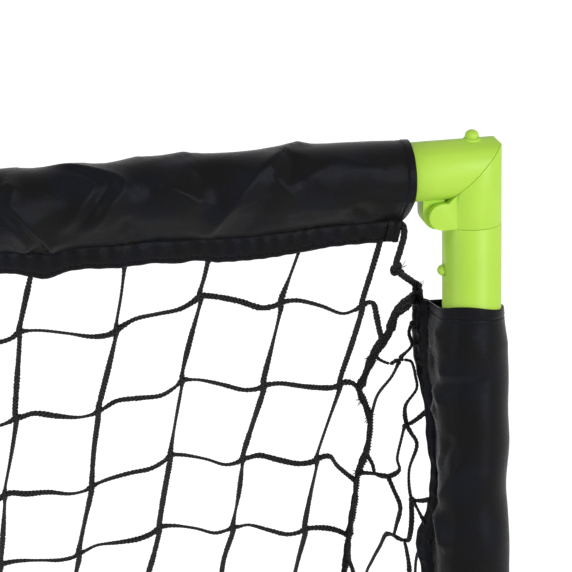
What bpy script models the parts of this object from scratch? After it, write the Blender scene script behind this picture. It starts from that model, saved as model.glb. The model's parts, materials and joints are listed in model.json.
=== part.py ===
"""Knock-down hockey goal: lime plug-together frame, black cloth sleeves and a netted back.

Metres, +Z up. The mouth faces -Y and the net falls away towards +Y. The origin is on the
floor, under the centre of the goal. The right side is modelled, and the left is its mirror.
"""

import math

import bmesh
import bpy
from mathutils import Matrix, Vector

# Frame: centre lines of the tubes
POST_SPACING = 0.882
BAR_HEIGHT = 0.594
BASE_DEPTH = 0.390
BASE_HEIGHT = 0.0188
TUBE_RADIUS = 0.016
TUBE_WALL = 0.002

# Corner mouldings: an arm flush with the tube, then a spigot inside it
ARM_LENGTH = 0.030
BAR_ARM_LENGTH = 0.038
SPIGOT_LENGTH = 0.042
SPIGOT_WALL = 0.0025
SPIGOT_FIT = 0.0004
BORE_FLOOR = 0.002
TIP_CHAMFER = 0.0036
PAD_WIDTH = 0.024
PAD_LENGTH = 0.034

# Hinge of the top corner: a clevis of two ears round a lug, on one pin
PIN_INSET = 0.019
PIN_DROP = 0.023
PIN_RADIUS = 0.002
PIN_COVER = 0.0016
EAR_RADIUS = 0.00725
EAR_HALF_WIDTH = 0.0114
LUG_HALF_WIDTH = 0.0063
LUG_REACH = 0.0284
LUG_RADIUS = 0.0080
LUG_INSIDE = 0.0026
KNUCKLE_ROOT = 0.008

# Release button on the crown of the top corner
CROWN_RADIUS = 0.00375
CROWN_DOME = 0.0030
CROWN_PROUD = 0.0050
CROWN_STEM = 0.0072
CROWN_POCKET = 0.0116
COLLAR_RADIUS = 0.0050
COLLAR_PROUD = 0.0007
COLLAR_ROOT = 0.006

# Snap tongue: a springy arm in the spigot's window with a dome through the tube
SNAP_SETBACK = 0.016
SNAP_RADIUS = 0.00315
SNAP_PROUD = 0.0032
TONGUE_LENGTH = 0.025
TONGUE_WIDTH = 0.008
TONGUE_THICKNESS = 0.002
TONGUE_TIP = 0.005
TONGUE_SINK = 0.0008

# Cloth sleeves and the tape that carries the net
CLOTH = 0.0010
CLOTH_EASE = 0.0006
BAR_SLEEVE_INSET = 0.0345
SLEEVE_INSET = 0.076
BAR_APEX = 0.0275
SLEEVE_APEX = 0.0235
BAR_TAPE_DEPTH = 0.0135
TAPE_DEPTH = 0.0085
TAPE_THICKNESS = 0.0022
TAPE_INSET = 0.004
TAPE_SWAY = 0.0006
BAR_TAPE_LEAN = math.radians(12.5)
POST_TAPE_LEAN = math.radians(40)
REAR_TAPE_LEAN = math.radians(56)
BAR_FOLD = 0.0022
SLEEVE_FOLD = 0.0016

# Net
CORD = 0.0026
MESH = 0.0485
FIRST_ROW = 0.036
NET_SAG = 0.0627
NET_BOW = 0.038
NET_TOP_INSET = 0.0445
NET_FOOT_INSET = 0.0445
EDGE_STRIP = 0.022
SIDE_NET_START = 0.14
ROPE_RADIUS = 0.0024
ROPE_HEAD_DROP = 0.013
ROPE_MEETS_NET = 0.042
ROPE_STOP = 0.975
TIE_RADIUS = 0.0014
TIE_UP_TAPE = 0.006
TIE_DOWN_SLEEVE = 0.006

# Clearances
SEAT = 0.0003
BUTTON_FIT = 0.0005
CUT_PAST = 0.004

# Facets
TOP_SIDES = 32
BASE_SIDES = 24
TUBE_SIDES = 24
SMALL_SIDES = 12

HALF = POST_SPACING / 2
SPIGOT_RADIUS = TUBE_RADIUS - TUBE_WALL - SPIGOT_FIT
BORE_RADIUS = SPIGOT_RADIUS - SPIGOT_WALL
X, Y, Z = Vector((1, 0, 0)), Vector((0, 1, 0)), Vector((0, 0, 1))
TOP = Vector((HALF, 0, BAR_HEIGHT))
FOOT = Vector((HALF, 0, BASE_HEIGHT))
REAR = Vector((HALF, BASE_DEPTH, BASE_HEIGHT))

LIME = (0.445, 0.701, 0.065, 1)
CLOTH_BLACK = (0.012, 0.012, 0.016, 1)
CORD_BLACK = (0.008, 0.008, 0.008, 1)
STEEL = (0.55, 0.55, 0.56, 1)


def clear_scene():
    for obj in list(bpy.data.objects):
        bpy.data.objects.remove(obj, do_unlink=True)


def collection(name):
    made = bpy.data.collections.new(name)
    bpy.context.scene.collection.children.link(made)
    return made


def material(name, colour, roughness, metallic=0.0):
    made = bpy.data.materials.new(name)
    made.use_nodes = True
    shader = made.node_tree.nodes["Principled BSDF"]
    shader.inputs["Base Color"].default_value = colour
    shader.inputs["Roughness"].default_value = roughness
    shader.inputs["Metallic"].default_value = metallic
    made.diffuse_color = colour
    return made


clear_scene()
PARTS = collection("hockey_goal")
CUTTERS = collection("cutters")
PLASTIC = material("lime_plastic", LIME, 0.38)
FABRIC = material("black_polyester", CLOTH_BLACK, 0.42)
CORDAGE = material("black_cord", CORD_BLACK, 0.75)
METAL = material("pin_steel", STEEL, 0.35, 1.0)


def frame(origin, along, towards):
    """A placing whose local Z is along, and local X is towards."""
    side = along.cross(towards)
    turn = Matrix((towards, side, along)).transposed()
    return Matrix.Translation(origin) @ turn.to_4x4()


def add(name, mesh, placing, finish=None):
    """An object of the goal, or a cutter where it has no finish."""
    obj = bpy.data.objects.new(name, mesh)
    obj.matrix_world = placing
    if finish:
        PARTS.objects.link(obj)
        mesh.materials.append(finish)
    else:
        CUTTERS.objects.link(obj)
        obj.hide_render = True
        obj.display_type = "WIRE"
    return obj


def mesh_of(name, bm):
    mesh = bpy.data.meshes.new(name)
    bm.to_mesh(mesh)
    bm.free()
    return mesh


def turned(name, profile, sides, placing, finish=None, closed=False):
    """A profile of (radius, height) turned about local Z, its outer side running down."""
    bm = bmesh.new()
    points = [bm.verts.new((radius, 0, height)) for radius, height in profile]
    ends = zip(points, points[1:] + points[:1]) if closed else zip(points, points[1:])
    for start, end in ends:
        bm.edges.new((start, end))
    obj = add(name, mesh_of(name, bm), placing, finish)
    screw = obj.modifiers.new("turn", "SCREW")
    screw.steps = screw.render_steps = sides
    screw.use_merge_vertices = True
    screw.merge_threshold = 0.00001
    screw.use_smooth_shade = False
    return obj


def block(name, low, high, placing, finish=None):
    bm = bmesh.new()
    bmesh.ops.create_cube(bm, size=1)
    low, high = Vector(low), Vector(high)
    size = high - low
    bmesh.ops.scale(bm, vec=size, verts=bm.verts)
    bmesh.ops.translate(bm, vec=(low + high) / 2, verts=bm.verts)
    return add(name, mesh_of(name, bm), placing, finish)


def rod(name, radius, low, high, placing, sides=SMALL_SIDES, finish=None):
    bm = bmesh.new()
    bmesh.ops.create_cone(
        bm, cap_ends=True, segments=sides, radius1=radius, radius2=radius, depth=high - low
    )
    bmesh.ops.translate(bm, vec=(0, 0, (low + high) / 2), verts=bm.verts)
    return add(name, mesh_of(name, bm), placing, finish)


def plate(name, outline, half_width, placing):
    """A flat outline in local X and Y, thickened both ways along local Z, as a mesh."""
    curve = bpy.data.curves.new(name, "CURVE")
    curve.dimensions = "2D"
    curve.fill_mode = "BOTH"
    curve.extrude = half_width
    spline = curve.splines.new("POLY")
    spline.points.add(len(outline) - 1)
    spline.use_cyclic_u = True
    for point, (x, y) in zip(spline.points, outline):
        point.co = (x, y, 0, 1)
    drawn = bpy.data.objects.new(name, curve)
    PARTS.objects.link(drawn)
    bpy.context.view_layer.update()
    mesh = bpy.data.meshes.new_from_object(drawn.evaluated_get(bpy.context.evaluated_depsgraph_get()))
    bpy.data.objects.remove(drawn)
    bm = bmesh.new()
    bm.from_mesh(mesh)
    bmesh.ops.remove_doubles(bm, verts=bm.verts, dist=0.00001)
    bmesh.ops.recalc_face_normals(bm, faces=bm.faces)
    bm.to_mesh(mesh)
    bm.free()
    return add(name, mesh, placing)


def combine(obj, operation, *others):
    for other in others:
        modifier = obj.modifiers.new(other.name, "BOOLEAN")
        modifier.operation = operation
        modifier.object = other


def arc(centre, radius, start, end, count):
    """Points on a circle from one angle to another, in degrees."""
    steps = [math.radians(start + (end - start) * i / (count - 1)) for i in range(count)]
    return [(centre[0] + radius * math.cos(a), centre[1] + radius * math.sin(a)) for a in steps]


def arm_profile(arm=ARM_LENGTH):
    """Arm, shoulder and hollow spigot, with the corner's centre at height 0."""
    end = arm + SPIGOT_LENGTH
    past_mitre = 1.4 * TUBE_RADIUS
    return [
        (0, arm + BORE_FLOOR),
        (BORE_RADIUS, arm + BORE_FLOOR),
        (BORE_RADIUS, end),
        (SPIGOT_RADIUS, end),
        (SPIGOT_RADIUS, arm),
        (TUBE_RADIUS, arm),
        (TUBE_RADIUS, -past_mitre),
        (0, -past_mitre),
    ]


def snap_distance(arm=ARM_LENGTH):
    """From a corner's centre to the snap dome of an arm."""
    return arm + SPIGOT_LENGTH - SNAP_SETBACK


def tongue_frame(corner, along, towards, arm=ARM_LENGTH):
    """The root of a snap tongue, which runs along the arm and faces out of the spigot."""
    root = snap_distance(arm) - (TONGUE_LENGTH - TONGUE_TIP)
    height = SPIGOT_RADIUS - TONGUE_SINK - TONGUE_THICKNESS / 2
    return frame(corner + along * root + towards * height, towards, along)


def window(name, corner, along, towards, arm=ARM_LENGTH):
    """Clears a spigot's wall round its snap tongue."""
    half = TONGUE_WIDTH / 2 + SEAT
    return block(
        name,
        (-SEAT, -half, -TONGUE_THICKNESS - SPIGOT_WALL),
        (TONGUE_LENGTH + BUTTON_FIT, half, SPIGOT_WALL + CUT_PAST),
        tongue_frame(corner, along, towards, arm),
    )


def mitre_block(name, corner, keep, away, shift=0.0):
    """Everything past the mitre plane: keep and away are the arms' directions."""
    normal = (away - keep).normalized()
    across = keep.cross(away)
    size = 6 * TUBE_RADIUS
    return block(
        name,
        (-size, -size, shift),
        (size, size, shift + 2 * size),
        frame(corner, normal, across),
    )


def tip_block(name, corner, first, second):
    """The outer tip of a mitred corner, cut off square to its diagonal."""
    diagonal = -(first + second).normalized()
    height = math.sqrt(2) * TUBE_RADIUS - TIP_CHAMFER / math.sqrt(2)
    size = 2 * TUBE_RADIUS
    return block(
        name, (-size, -size, height), (size, size, 2 * size), frame(corner, diagonal, first.cross(second))
    )


def knuckle_frame(corner):
    """Outlines of the hinge are drawn in world X and Z, and thickened along Y."""
    return frame(corner, -Y, X)


PIN = (-PIN_INSET, -PIN_DROP)


def lug_outline():
    """The bar half's lug: straight down from the bar, round its own nose, then round the pin."""
    lift = math.degrees(math.acos(LUG_INSIDE / EAR_RADIUS))
    nose = arc((LUG_RADIUS - LUG_REACH, -PIN_DROP), LUG_RADIUS, 180, 262, 7)
    eye = arc(PIN, EAR_RADIUS, 288, 360 + lift, 8)
    return [(PIN[0] + LUG_INSIDE, -KNUCKLE_ROOT), (-LUG_REACH, -KNUCKLE_ROOT)] + nose + eye


def ear_outline():
    """The post half's ears: round outside the pin, with the mitre's slope on top."""
    top = -PIN_DROP + EAR_RADIUS
    return [
        (-KNUCKLE_ROOT, -PIN_DROP - EAR_RADIUS),
        (-KNUCKLE_ROOT, -KNUCKLE_ROOT - SEAT),
        (top + SEAT, top),
    ] + arc(PIN, EAR_RADIUS, 90, 270, 11)


def pin_hole(name, corner):
    """Drilled in from the back and stopped short of the front ear's face."""
    low = -EAR_HALF_WIDTH - CUT_PAST
    high = EAR_HALF_WIDTH - PIN_COVER + SEAT
    origin = corner + Vector((PIN[0], 0, PIN[1]))
    return rod(name, PIN_RADIUS + SEAT / 2, low, high, frame(origin, -Y, X), sides=16)


def bar_half():
    """Top corner's half on the crossbar, with the lug and the release button's pocket."""
    along, towards = -X, -Z
    profile = arm_profile(BAR_ARM_LENGTH)
    half = turned("top_corner_bar_half_R", profile, TOP_SIDES, frame(TOP, along, towards), PLASTIC)
    combine(
        half,
        "DIFFERENCE",
        mitre_block("bar_mitre", TOP, along, -Z, -SEAT / 2),
        tip_block("bar_tip", TOP, along, -Z),
    )
    collar = turned(
        "crown_collar",
        [
            (0, TUBE_RADIUS + COLLAR_PROUD),
            (COLLAR_RADIUS - COLLAR_PROUD, TUBE_RADIUS + COLLAR_PROUD),
            (COLLAR_RADIUS, TUBE_RADIUS),
            (COLLAR_RADIUS, TUBE_RADIUS - COLLAR_ROOT),
            (0, TUBE_RADIUS - COLLAR_ROOT),
        ],
        20,
        frame(TOP, Z, X),
    )
    combine(half, "UNION", plate("lug", lug_outline(), LUG_HALF_WIDTH, knuckle_frame(TOP)), collar)
    pocket = rod(
        "crown_pocket",
        CROWN_RADIUS + SEAT,
        TUBE_RADIUS - CROWN_POCKET,
        TUBE_RADIUS + CUT_PAST,
        frame(TOP, Z, X),
        sides=20,
    )
    opening = window("bar_window", TOP, along, towards, BAR_ARM_LENGTH)
    combine(half, "DIFFERENCE", pocket, pin_hole("lug_hole", TOP), opening)
    return half


def post_half():
    """Top corner's half on the post, with the clevis that takes the lug."""
    along, towards = -Z, -X
    half = turned("top_corner_post_half_R", arm_profile(), TOP_SIDES, frame(TOP, along, towards), PLASTIC)
    combine(
        half,
        "DIFFERENCE",
        mitre_block("post_mitre", TOP, along, -X, -SEAT / 2),
        tip_block("post_tip", TOP, along, -X),
    )
    ears = plate("ears", ear_outline(), EAR_HALF_WIDTH, knuckle_frame(TOP))
    combine(half, "UNION", ears)
    reach = LUG_HALF_WIDTH + SEAT
    pin_frame = frame(TOP + Vector((PIN[0], 0, PIN[1])), -Y, X)
    scoop = rod("lug_scoop", EAR_RADIUS + SEAT, -reach, reach, pin_frame, sides=28)
    slot = block(
        "lug_slot",
        (-2 * EAR_RADIUS, -LUG_RADIUS - BUTTON_FIT, -reach),
        (PIN_INSET - TUBE_RADIUS, 2 * EAR_RADIUS, reach),
        pin_frame,
    )
    combine(
        half, "DIFFERENCE", scoop, slot, pin_hole("ear_hole", TOP), window("post_window", TOP, along, towards)
    )
    return half


def elbow(name, corner, arms, pad_along):
    """A one-piece base corner of two mitred arms, each given as (along, towards)."""
    (first, first_snap), (second, second_snap) = arms
    outer = arm_profile()[:-2]
    profile = outer + [(TUBE_RADIUS, 0)] + [(radius, -height) for radius, height in reversed(outer)]
    straight = turned(name + "_straight", profile, BASE_SIDES, Matrix.Identity(4))
    mesh = realised(name, straight)
    bpy.data.objects.remove(straight)
    side = first.cross(second)
    for vert in mesh.vertices:
        x, y, z = vert.co
        ahead = z if z > SEAT else x
        aside = -z if z < -SEAT else x
        vert.co = first * ahead + second * aside + side * y
    made = add(name, mesh, Matrix.Translation(corner), PLASTIC)
    combine(made, "DIFFERENCE", tip_block(name + "_tip", corner, first, second))
    across = pad_along.cross(Z)
    pad = block(
        name + "_pad",
        (-TUBE_RADIUS / 2, -PAD_WIDTH / 2, -BASE_HEIGHT),
        (PAD_LENGTH - TUBE_RADIUS / 2, PAD_WIDTH / 2, -TUBE_RADIUS / 2),
        Matrix.Translation(corner) @ Matrix((pad_along, -across, Z)).transposed().to_4x4(),
    )
    combine(made, "UNION", pad)
    combine(
        made,
        "DIFFERENCE",
        window(name + "_window_a", corner, first, first_snap),
        window(name + "_window_b", corner, second, second_snap),
    )
    return made


def crown_button():
    """The release button: a domed cap on a stem, free to sink in its pocket."""
    rim = TUBE_RADIUS + CROWN_PROUD - CROWN_DOME
    dome = [
        (CROWN_RADIUS * math.sin(a), rim + CROWN_DOME * math.cos(a))
        for a in (math.radians(15 * i) for i in range(7))
    ]
    stem = [(CROWN_RADIUS, TUBE_RADIUS - CROWN_STEM), (0, TUBE_RADIUS - CROWN_STEM)]
    return turned("release_button_R", [(0, dome[0][1])] + dome[1:] + stem, 20, frame(TOP, Z, X), PLASTIC)


def tongue_mesh():
    """The springy arm with its dome, drawn from the root along local X."""
    placing = Matrix.Identity(4)
    strip = block(
        "tongue_strip",
        (0, -TONGUE_WIDTH / 2, -TONGUE_THICKNESS / 2),
        (TONGUE_LENGTH, TONGUE_WIDTH / 2, TONGUE_THICKNESS / 2),
        placing,
    )
    centre = TONGUE_LENGTH - TONGUE_TIP
    crown = TUBE_RADIUS + SNAP_PROUD - (SPIGOT_RADIUS - TONGUE_SINK - TONGUE_THICKNESS / 2)
    dome = [
        (SNAP_RADIUS * math.sin(a), crown - SNAP_RADIUS + SNAP_RADIUS * math.cos(a))
        for a in (math.radians(22.5 * i) for i in range(5))
    ]
    head = turned(
        "tongue_head", dome + [(SNAP_RADIUS, 0), (0, 0)], SMALL_SIDES, Matrix.Translation((centre, 0, 0))
    )
    combine(strip, "UNION", head)
    mesh = realised("snap_tongue", strip)
    bpy.data.objects.remove(strip)
    bpy.data.objects.remove(head)
    return mesh


def realised(name, obj):
    """The object's evaluated mesh, in its own space."""
    bpy.context.view_layer.update()
    mesh = bpy.data.meshes.new_from_object(obj.evaluated_get(bpy.context.evaluated_depsgraph_get()))
    mesh.name = name
    return mesh


def tube(name, start, along, length, snaps, arm=ARM_LENGTH):
    """A tube between two corners, drilled where each end's snap dome comes out."""
    low, high = arm + SEAT, length - arm - SEAT
    profile = [
        (TUBE_RADIUS, high),
        (TUBE_RADIUS, low),
        (TUBE_RADIUS - TUBE_WALL, low),
        (TUBE_RADIUS - TUBE_WALL, high),
    ]
    made = turned(name, profile, TUBE_SIDES, frame(start, along, snaps[0]), PLASTIC, closed=True)
    distances = (snap_distance(arm), length - snap_distance(arm))
    for end, (distance, towards) in enumerate(zip(distances, snaps)):
        drill = rod(
            f"{name}_drill_{end}",
            SNAP_RADIUS + BUTTON_FIT,
            TUBE_RADIUS / 2,
            TUBE_RADIUS + CUT_PAST,
            frame(start + along * distance, towards, along),
        )
        combine(made, "DIFFERENCE", drill)
    return made


def sleeve_radius(angle, along, length, apex, fold):
    """Teardrop section, drawn to its seam at angle 0, with slack folds near the seam."""
    snug = TUBE_RADIUS + CLOTH_EASE + CLOTH
    spread = math.acos(snug / apex)
    radius = snug / math.cos(max(spread - abs(angle), 0.0))
    fullest, spread_of_slack = 1.35, 0.75
    slack = math.exp(-(((abs(angle) - fullest) / spread_of_slack) ** 2))
    slack *= max(math.sin(math.pi * along / length), 0.0) ** 0.3
    slanting = math.sin(2.6 * angle + 47.0 * along)
    beating = math.cos(19.0 * along + 0.7)
    return radius + fold * slack * (0.55 + 0.45 * slanting * beating)


def sleeve(name, start, along, towards, length, apex, fold, rings, sides=20):
    """Cloth sewn round a tube: an open skin, thickened inwards."""
    bm = bmesh.new()
    ring = bmesh.ops.create_circle(bm, segments=sides, radius=1)["verts"]
    edges = list(bm.edges)
    layers = [(ring, 0.0)]
    for i in range(1, rings + 1):
        made = bmesh.ops.extrude_edge_only(bm, edges=edges)["geom"]
        ring = [v for v in made if isinstance(v, bmesh.types.BMVert)]
        edges = [e for e in made if isinstance(e, bmesh.types.BMEdge) and all(v in ring for v in e.verts)]
        layers.append((ring, length * i / rings))
    for ring, height in layers:
        for vert in ring:
            angle = math.atan2(vert.co.y, vert.co.x)
            radius = sleeve_radius(angle, height, length, apex, fold)
            vert.co = (radius * math.cos(angle), radius * math.sin(angle), height)
    bmesh.ops.recalc_face_normals(bm, faces=bm.faces)
    obj = add(name, mesh_of(name, bm), frame(start, along, towards), FABRIC)
    skin = obj.modifiers.new("cloth", "SOLIDIFY")
    skin.thickness = CLOTH
    skin.offset = -1
    return obj


def tape(name, start, along, towards, length, root, depth, waves):
    """The doubled tape sewn along a sleeve's seam, a little shorter than it, which holds the net."""
    start = start + along * TAPE_INSET
    length = length - 2 * TAPE_INSET
    bm = bmesh.new()
    bmesh.ops.create_grid(bm, x_segments=waves * 3, y_segments=1, size=0.5)
    for vert in bm.verts:
        height = (vert.co.x + 0.5) * length
        reach = root + (vert.co.y + 0.5) * depth
        sway = TAPE_SWAY * math.sin(2 * math.pi * waves * height / length) * (vert.co.y + 0.5)
        vert.co = (reach, sway, height)
    obj = add(name, mesh_of(name, bm), frame(start, along, towards), FABRIC)
    skin = obj.modifiers.new("cloth", "SOLIDIFY")
    skin.thickness = TAPE_THICKNESS
    skin.offset = 0
    return obj


BAR_TAPE_WAY = Vector((0, math.sin(BAR_TAPE_LEAN), -math.cos(BAR_TAPE_LEAN)))
POST_TAPE_WAY = Vector((-math.sin(POST_TAPE_LEAN), math.cos(POST_TAPE_LEAN), 0))
REAR_TAPE_WAY = Vector((0, -math.sin(REAR_TAPE_LEAN), math.cos(REAR_TAPE_LEAN)))
BAR_TAPE_END = BAR_APEX + SEAT + BAR_TAPE_DEPTH
TAPE_END = SLEEVE_APEX + SEAT + TAPE_DEPTH
NET_TOP = Vector((0, 0, BAR_HEIGHT)) + BAR_TAPE_WAY * (BAR_TAPE_END + CORD)
NET_FOOT = Vector((0, BASE_DEPTH, BASE_HEIGHT)) + REAR_TAPE_WAY * (TAPE_END + CORD)


def net_line(v):
    """The slack curve of the back net in the YZ plane, from the crossbar to the rear bar."""
    chord = NET_FOOT - NET_TOP
    below = chord.normalized().cross(X)
    return NET_TOP + chord * v + below * (4 * NET_SAG * v * (1 - v))


def net_half_width(v):
    """From the middle to the outermost whole column, which bows in between the bars."""
    top, foot = HALF - NET_TOP_INSET, HALF - NET_FOOT_INSET
    return top + (foot - top) * v - 4 * NET_BOW * v * (1 - v)


def net_rows():
    """How far down the slack curve each row lies, at even lengths below the first."""
    steps = 400
    lengths = [0.0]
    for i in range(steps):
        lengths.append(lengths[-1] + (net_line((i + 1) / steps) - net_line(i / steps)).length)
    count = round((lengths[-1] - FIRST_ROW) / MESH)
    wanted = [0.0] + [FIRST_ROW + (lengths[-1] - FIRST_ROW) * i / count for i in range(count + 1)]
    places = []
    for length in wanted:
        after = next(i for i, reached in enumerate(lengths) if reached >= length - 1e-9)
        before = max(after - 1, 0)
        span = lengths[after] - lengths[before]
        share = (length - lengths[before]) / span if span else 0.0
        places.append((before + share) / steps)
    return places


def wire(obj, thickness):
    modifier = obj.modifiers.new("cords", "WIREFRAME")
    modifier.thickness = thickness
    modifier.use_even_offset = False
    modifier.use_boundary = True
    modifier.use_replace = True


def back_net():
    """Whole columns, and a part column out to the rope on each side below the first row."""
    rows = net_rows()
    whole = round(2 * net_half_width(0) / MESH)
    outermost = whole / 2 + 1
    bm = bmesh.new()
    bmesh.ops.create_grid(bm, x_segments=whole + 2, y_segments=len(rows) - 1, size=1)
    for vert in bm.verts:
        vert.co = (vert.co.x * outermost, (1 - vert.co.y) / 2 * (len(rows) - 1), 0)
    loose = [
        face
        for face in bm.faces
        if abs(face.calc_center_median().x) > whole / 2 and face.calc_center_median().y < 1
    ]
    bmesh.ops.delete(bm, geom=loose, context="FACES")
    for vert in bm.verts:
        column, v = vert.co.x, rows[round(vert.co.y)]
        point = net_line(v)
        reach = net_half_width(v)
        part = EDGE_STRIP if abs(column) > whole / 2 + 0.5 else 0.0
        inner = min(abs(column), whole / 2) / (whole / 2) * reach
        vert.co = (math.copysign(inner + part, column), point.y, point.z)
    obj = add("back_net", mesh_of("back_net", bm), Matrix.Identity(4), CORDAGE)
    wire(obj, CORD)
    return obj


def rope_point(v):
    point = net_line(v)
    return Vector((net_half_width(v) + EDGE_STRIP + CORD / 2 + ROPE_RADIUS + SEAT, point.y, point.z))


def level_at(height):
    """How far down the back net's curve a height is reached."""
    low, high = 0.0, 1.0
    for _ in range(40):
        middle = (low + high) / 2
        low, high = (middle, high) if net_line(middle).z > height else (low, middle)
    return (low + high) / 2


def side_net():
    """Between the post's tape, the base tube's tape and the edge rope, cut on the slope."""
    post_line = TOP + POST_TAPE_WAY * (TAPE_END + CORD)
    top = BAR_HEIGHT - SLEEVE_INSET
    low = BASE_HEIGHT + TAPE_END + CORD
    rows = round((top - low) / MESH)
    columns = round((BASE_DEPTH - post_line.y) / MESH)
    bm = bmesh.new()
    bmesh.ops.create_grid(bm, x_segments=columns, y_segments=rows, size=0.5)
    bmesh.ops.translate(bm, vec=(0.5, 0.5, 0), verts=bm.verts)
    everything = bm.verts[:] + bm.edges[:] + bm.faces[:]
    bmesh.ops.bisect_plane(
        bm, geom=everything, dist=0.0001, plane_co=(0, 0, 0), plane_no=(1, -1, 0), clear_outer=True
    )
    everything = bm.verts[:] + bm.edges[:] + bm.faces[:]
    bmesh.ops.bisect_plane(
        bm,
        geom=everything,
        dist=0.0001,
        plane_co=(0, SIDE_NET_START, 0),
        plane_no=(0, -1, 0),
        clear_outer=True,
    )
    for vert in bm.verts:
        across, down = vert.co.x / vert.co.y, vert.co.y
        height = top + (low - top) * down
        rope = rope_point(level_at(height)) + Vector((CORD / 2 + ROPE_RADIUS + SEAT, 0, 0))
        front = Vector((post_line.x, post_line.y, height))
        vert.co = front.lerp(Vector((rope.x, rope.y, height)), across)
    obj = add("side_net_R", mesh_of("side_net_R", bm), Matrix.Identity(4), CORDAGE)
    wire(obj, CORD)
    return obj


def cord(name, points, radius, resolution=1):
    curve = bpy.data.curves.new(name, "CURVE")
    curve.dimensions = "3D"
    curve.bevel_depth = radius
    curve.bevel_resolution = resolution
    curve.use_fill_caps = True
    spline = curve.splines.new("POLY")
    spline.points.add(len(points) - 1)
    for place, point in zip(spline.points, points):
        place.co = (*point, 1)
    obj = bpy.data.objects.new(name, curve)
    PARTS.objects.link(obj)
    curve.materials.append(CORDAGE)
    return obj


def smooth_path(points, count):
    """Evenly spaced points on a smooth curve through the given ones."""
    points = [Vector(p) for p in points]
    padded = [2 * points[0] - points[1]] + points + [2 * points[-1] - points[-2]]
    made = []
    for i in range(count):
        place = (len(points) - 1) * i / (count - 1)
        k = min(int(place), len(points) - 2)
        t = place - k
        a, b, c, d = padded[k : k + 4]
        square, cube = 2 * a - 5 * b + 4 * c - d, 3 * b - a - 3 * c + d
        made.append((2 * b + (c - a) * t + square * t**2 + cube * t**3) / 2)
    return made


def edge_rope():
    """The thick seam between the back net and the side net, from post sleeve to rear corner."""
    beside_tape = POST_TAPE_WAY * (TAPE_END + ROPE_RADIUS + SEAT)
    head = TOP + beside_tape - Z * (SLEEVE_INSET + ROPE_HEAD_DROP)
    start = level_at(BAR_HEIGHT - SLEEVE_INSET - ROPE_MEETS_NET)
    path = [rope_point(start + (ROPE_STOP - start) * i / 16) for i in range(17)]
    lead = smooth_path([head, head.lerp(path[0], 0.5) - Z * 0.003, path[0], path[1]], 10)
    return cord("edge_rope_R", lead[:6] + path, ROPE_RADIUS, 0)


def corner_tie():
    """Ties the end of the crossbar's tape to the top of the post's sleeve."""
    beside = X * (TIE_RADIUS + SEAT - BAR_SLEEVE_INSET - TAPE_INSET)
    tape_end = TOP + beside + BAR_TAPE_WAY * (BAR_TAPE_END - TIE_UP_TAPE)
    beside_tape = POST_TAPE_WAY * (TAPE_END + TIE_RADIUS + SEAT)
    sleeve_top = TOP + beside_tape - Z * (SLEEVE_INSET + TIE_DOWN_SLEEVE)
    path = smooth_path(
        [
            tape_end,
            tape_end + Vector((0.0008, 0.004, -0.012)),
            tape_end + Vector((0.0015, 0.010, -0.026)),
            sleeve_top + Vector((-0.0025, 0.001, 0.011)),
            sleeve_top,
        ],
        12,
    )
    return cord("corner_tie_R", path, TIE_RADIUS)


def mirrored(obj):
    """The left-hand copy of a right-hand piece."""
    bpy.context.view_layer.update()
    mesh = realised(obj.name[:-2] + "_L", obj)
    mesh.transform(obj.matrix_world)
    mesh.transform(Matrix.Scale(-1, 4, X))
    mesh.flip_normals()
    place = Vector((-obj.matrix_world.translation.x, *obj.matrix_world.translation.yz))
    mesh.transform(Matrix.Translation(-place))
    copy = bpy.data.objects.new(mesh.name, mesh)
    copy.location = place
    PARTS.objects.link(copy)
    return copy


def right_side():
    """Every piece of the right side that the left side mirrors."""
    post_length = BAR_HEIGHT - BASE_HEIGHT
    made = [
        bar_half(),
        post_half(),
        crown_button(),
        elbow("foot_elbow_R", FOOT, ((Z, -X), (Y, -X)), Y),
        elbow("rear_elbow_R", REAR, ((-Y, -X), (-X, Z)), -Y),
        tube("post_tube_R", TOP, -Z, post_length, (-X, -X)),
        tube("side_tube_R", FOOT, Y, BASE_DEPTH, (-X, -X)),
    ]
    pin_low, pin_high = -EAR_HALF_WIDTH, EAR_HALF_WIDTH - PIN_COVER
    pin_frame = frame(TOP + Vector((PIN[0], 0, PIN[1])), -Y, X)
    made.append(rod("corner_pin_R", PIN_RADIUS - SEAT / 2, pin_low, pin_high, pin_frame, 16, METAL))
    made += [
        sleeve(
            "post_sleeve_R",
            TOP - Z * SLEEVE_INSET,
            -Z,
            POST_TAPE_WAY,
            post_length - 2 * SLEEVE_INSET,
            SLEEVE_APEX,
            SLEEVE_FOLD,
            9,
            14,
        ),
        sleeve(
            "side_sleeve_R",
            FOOT + Y * SLEEVE_INSET,
            Y,
            Z,
            BASE_DEPTH - 2 * SLEEVE_INSET,
            SLEEVE_APEX,
            0.0,
            4,
            16,
        ),
        tape(
            "post_tape_R",
            TOP - Z * SLEEVE_INSET,
            -Z,
            POST_TAPE_WAY,
            post_length - 2 * SLEEVE_INSET,
            SLEEVE_APEX + SEAT,
            TAPE_DEPTH,
            4,
        ),
        tape(
            "side_tape_R",
            FOOT + Y * SLEEVE_INSET,
            Y,
            Z,
            BASE_DEPTH - 2 * SLEEVE_INSET,
            SLEEVE_APEX + SEAT,
            TAPE_DEPTH,
            2,
        ),
        side_net(),
        edge_rope(),
        corner_tie(),
    ]
    return made


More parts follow.
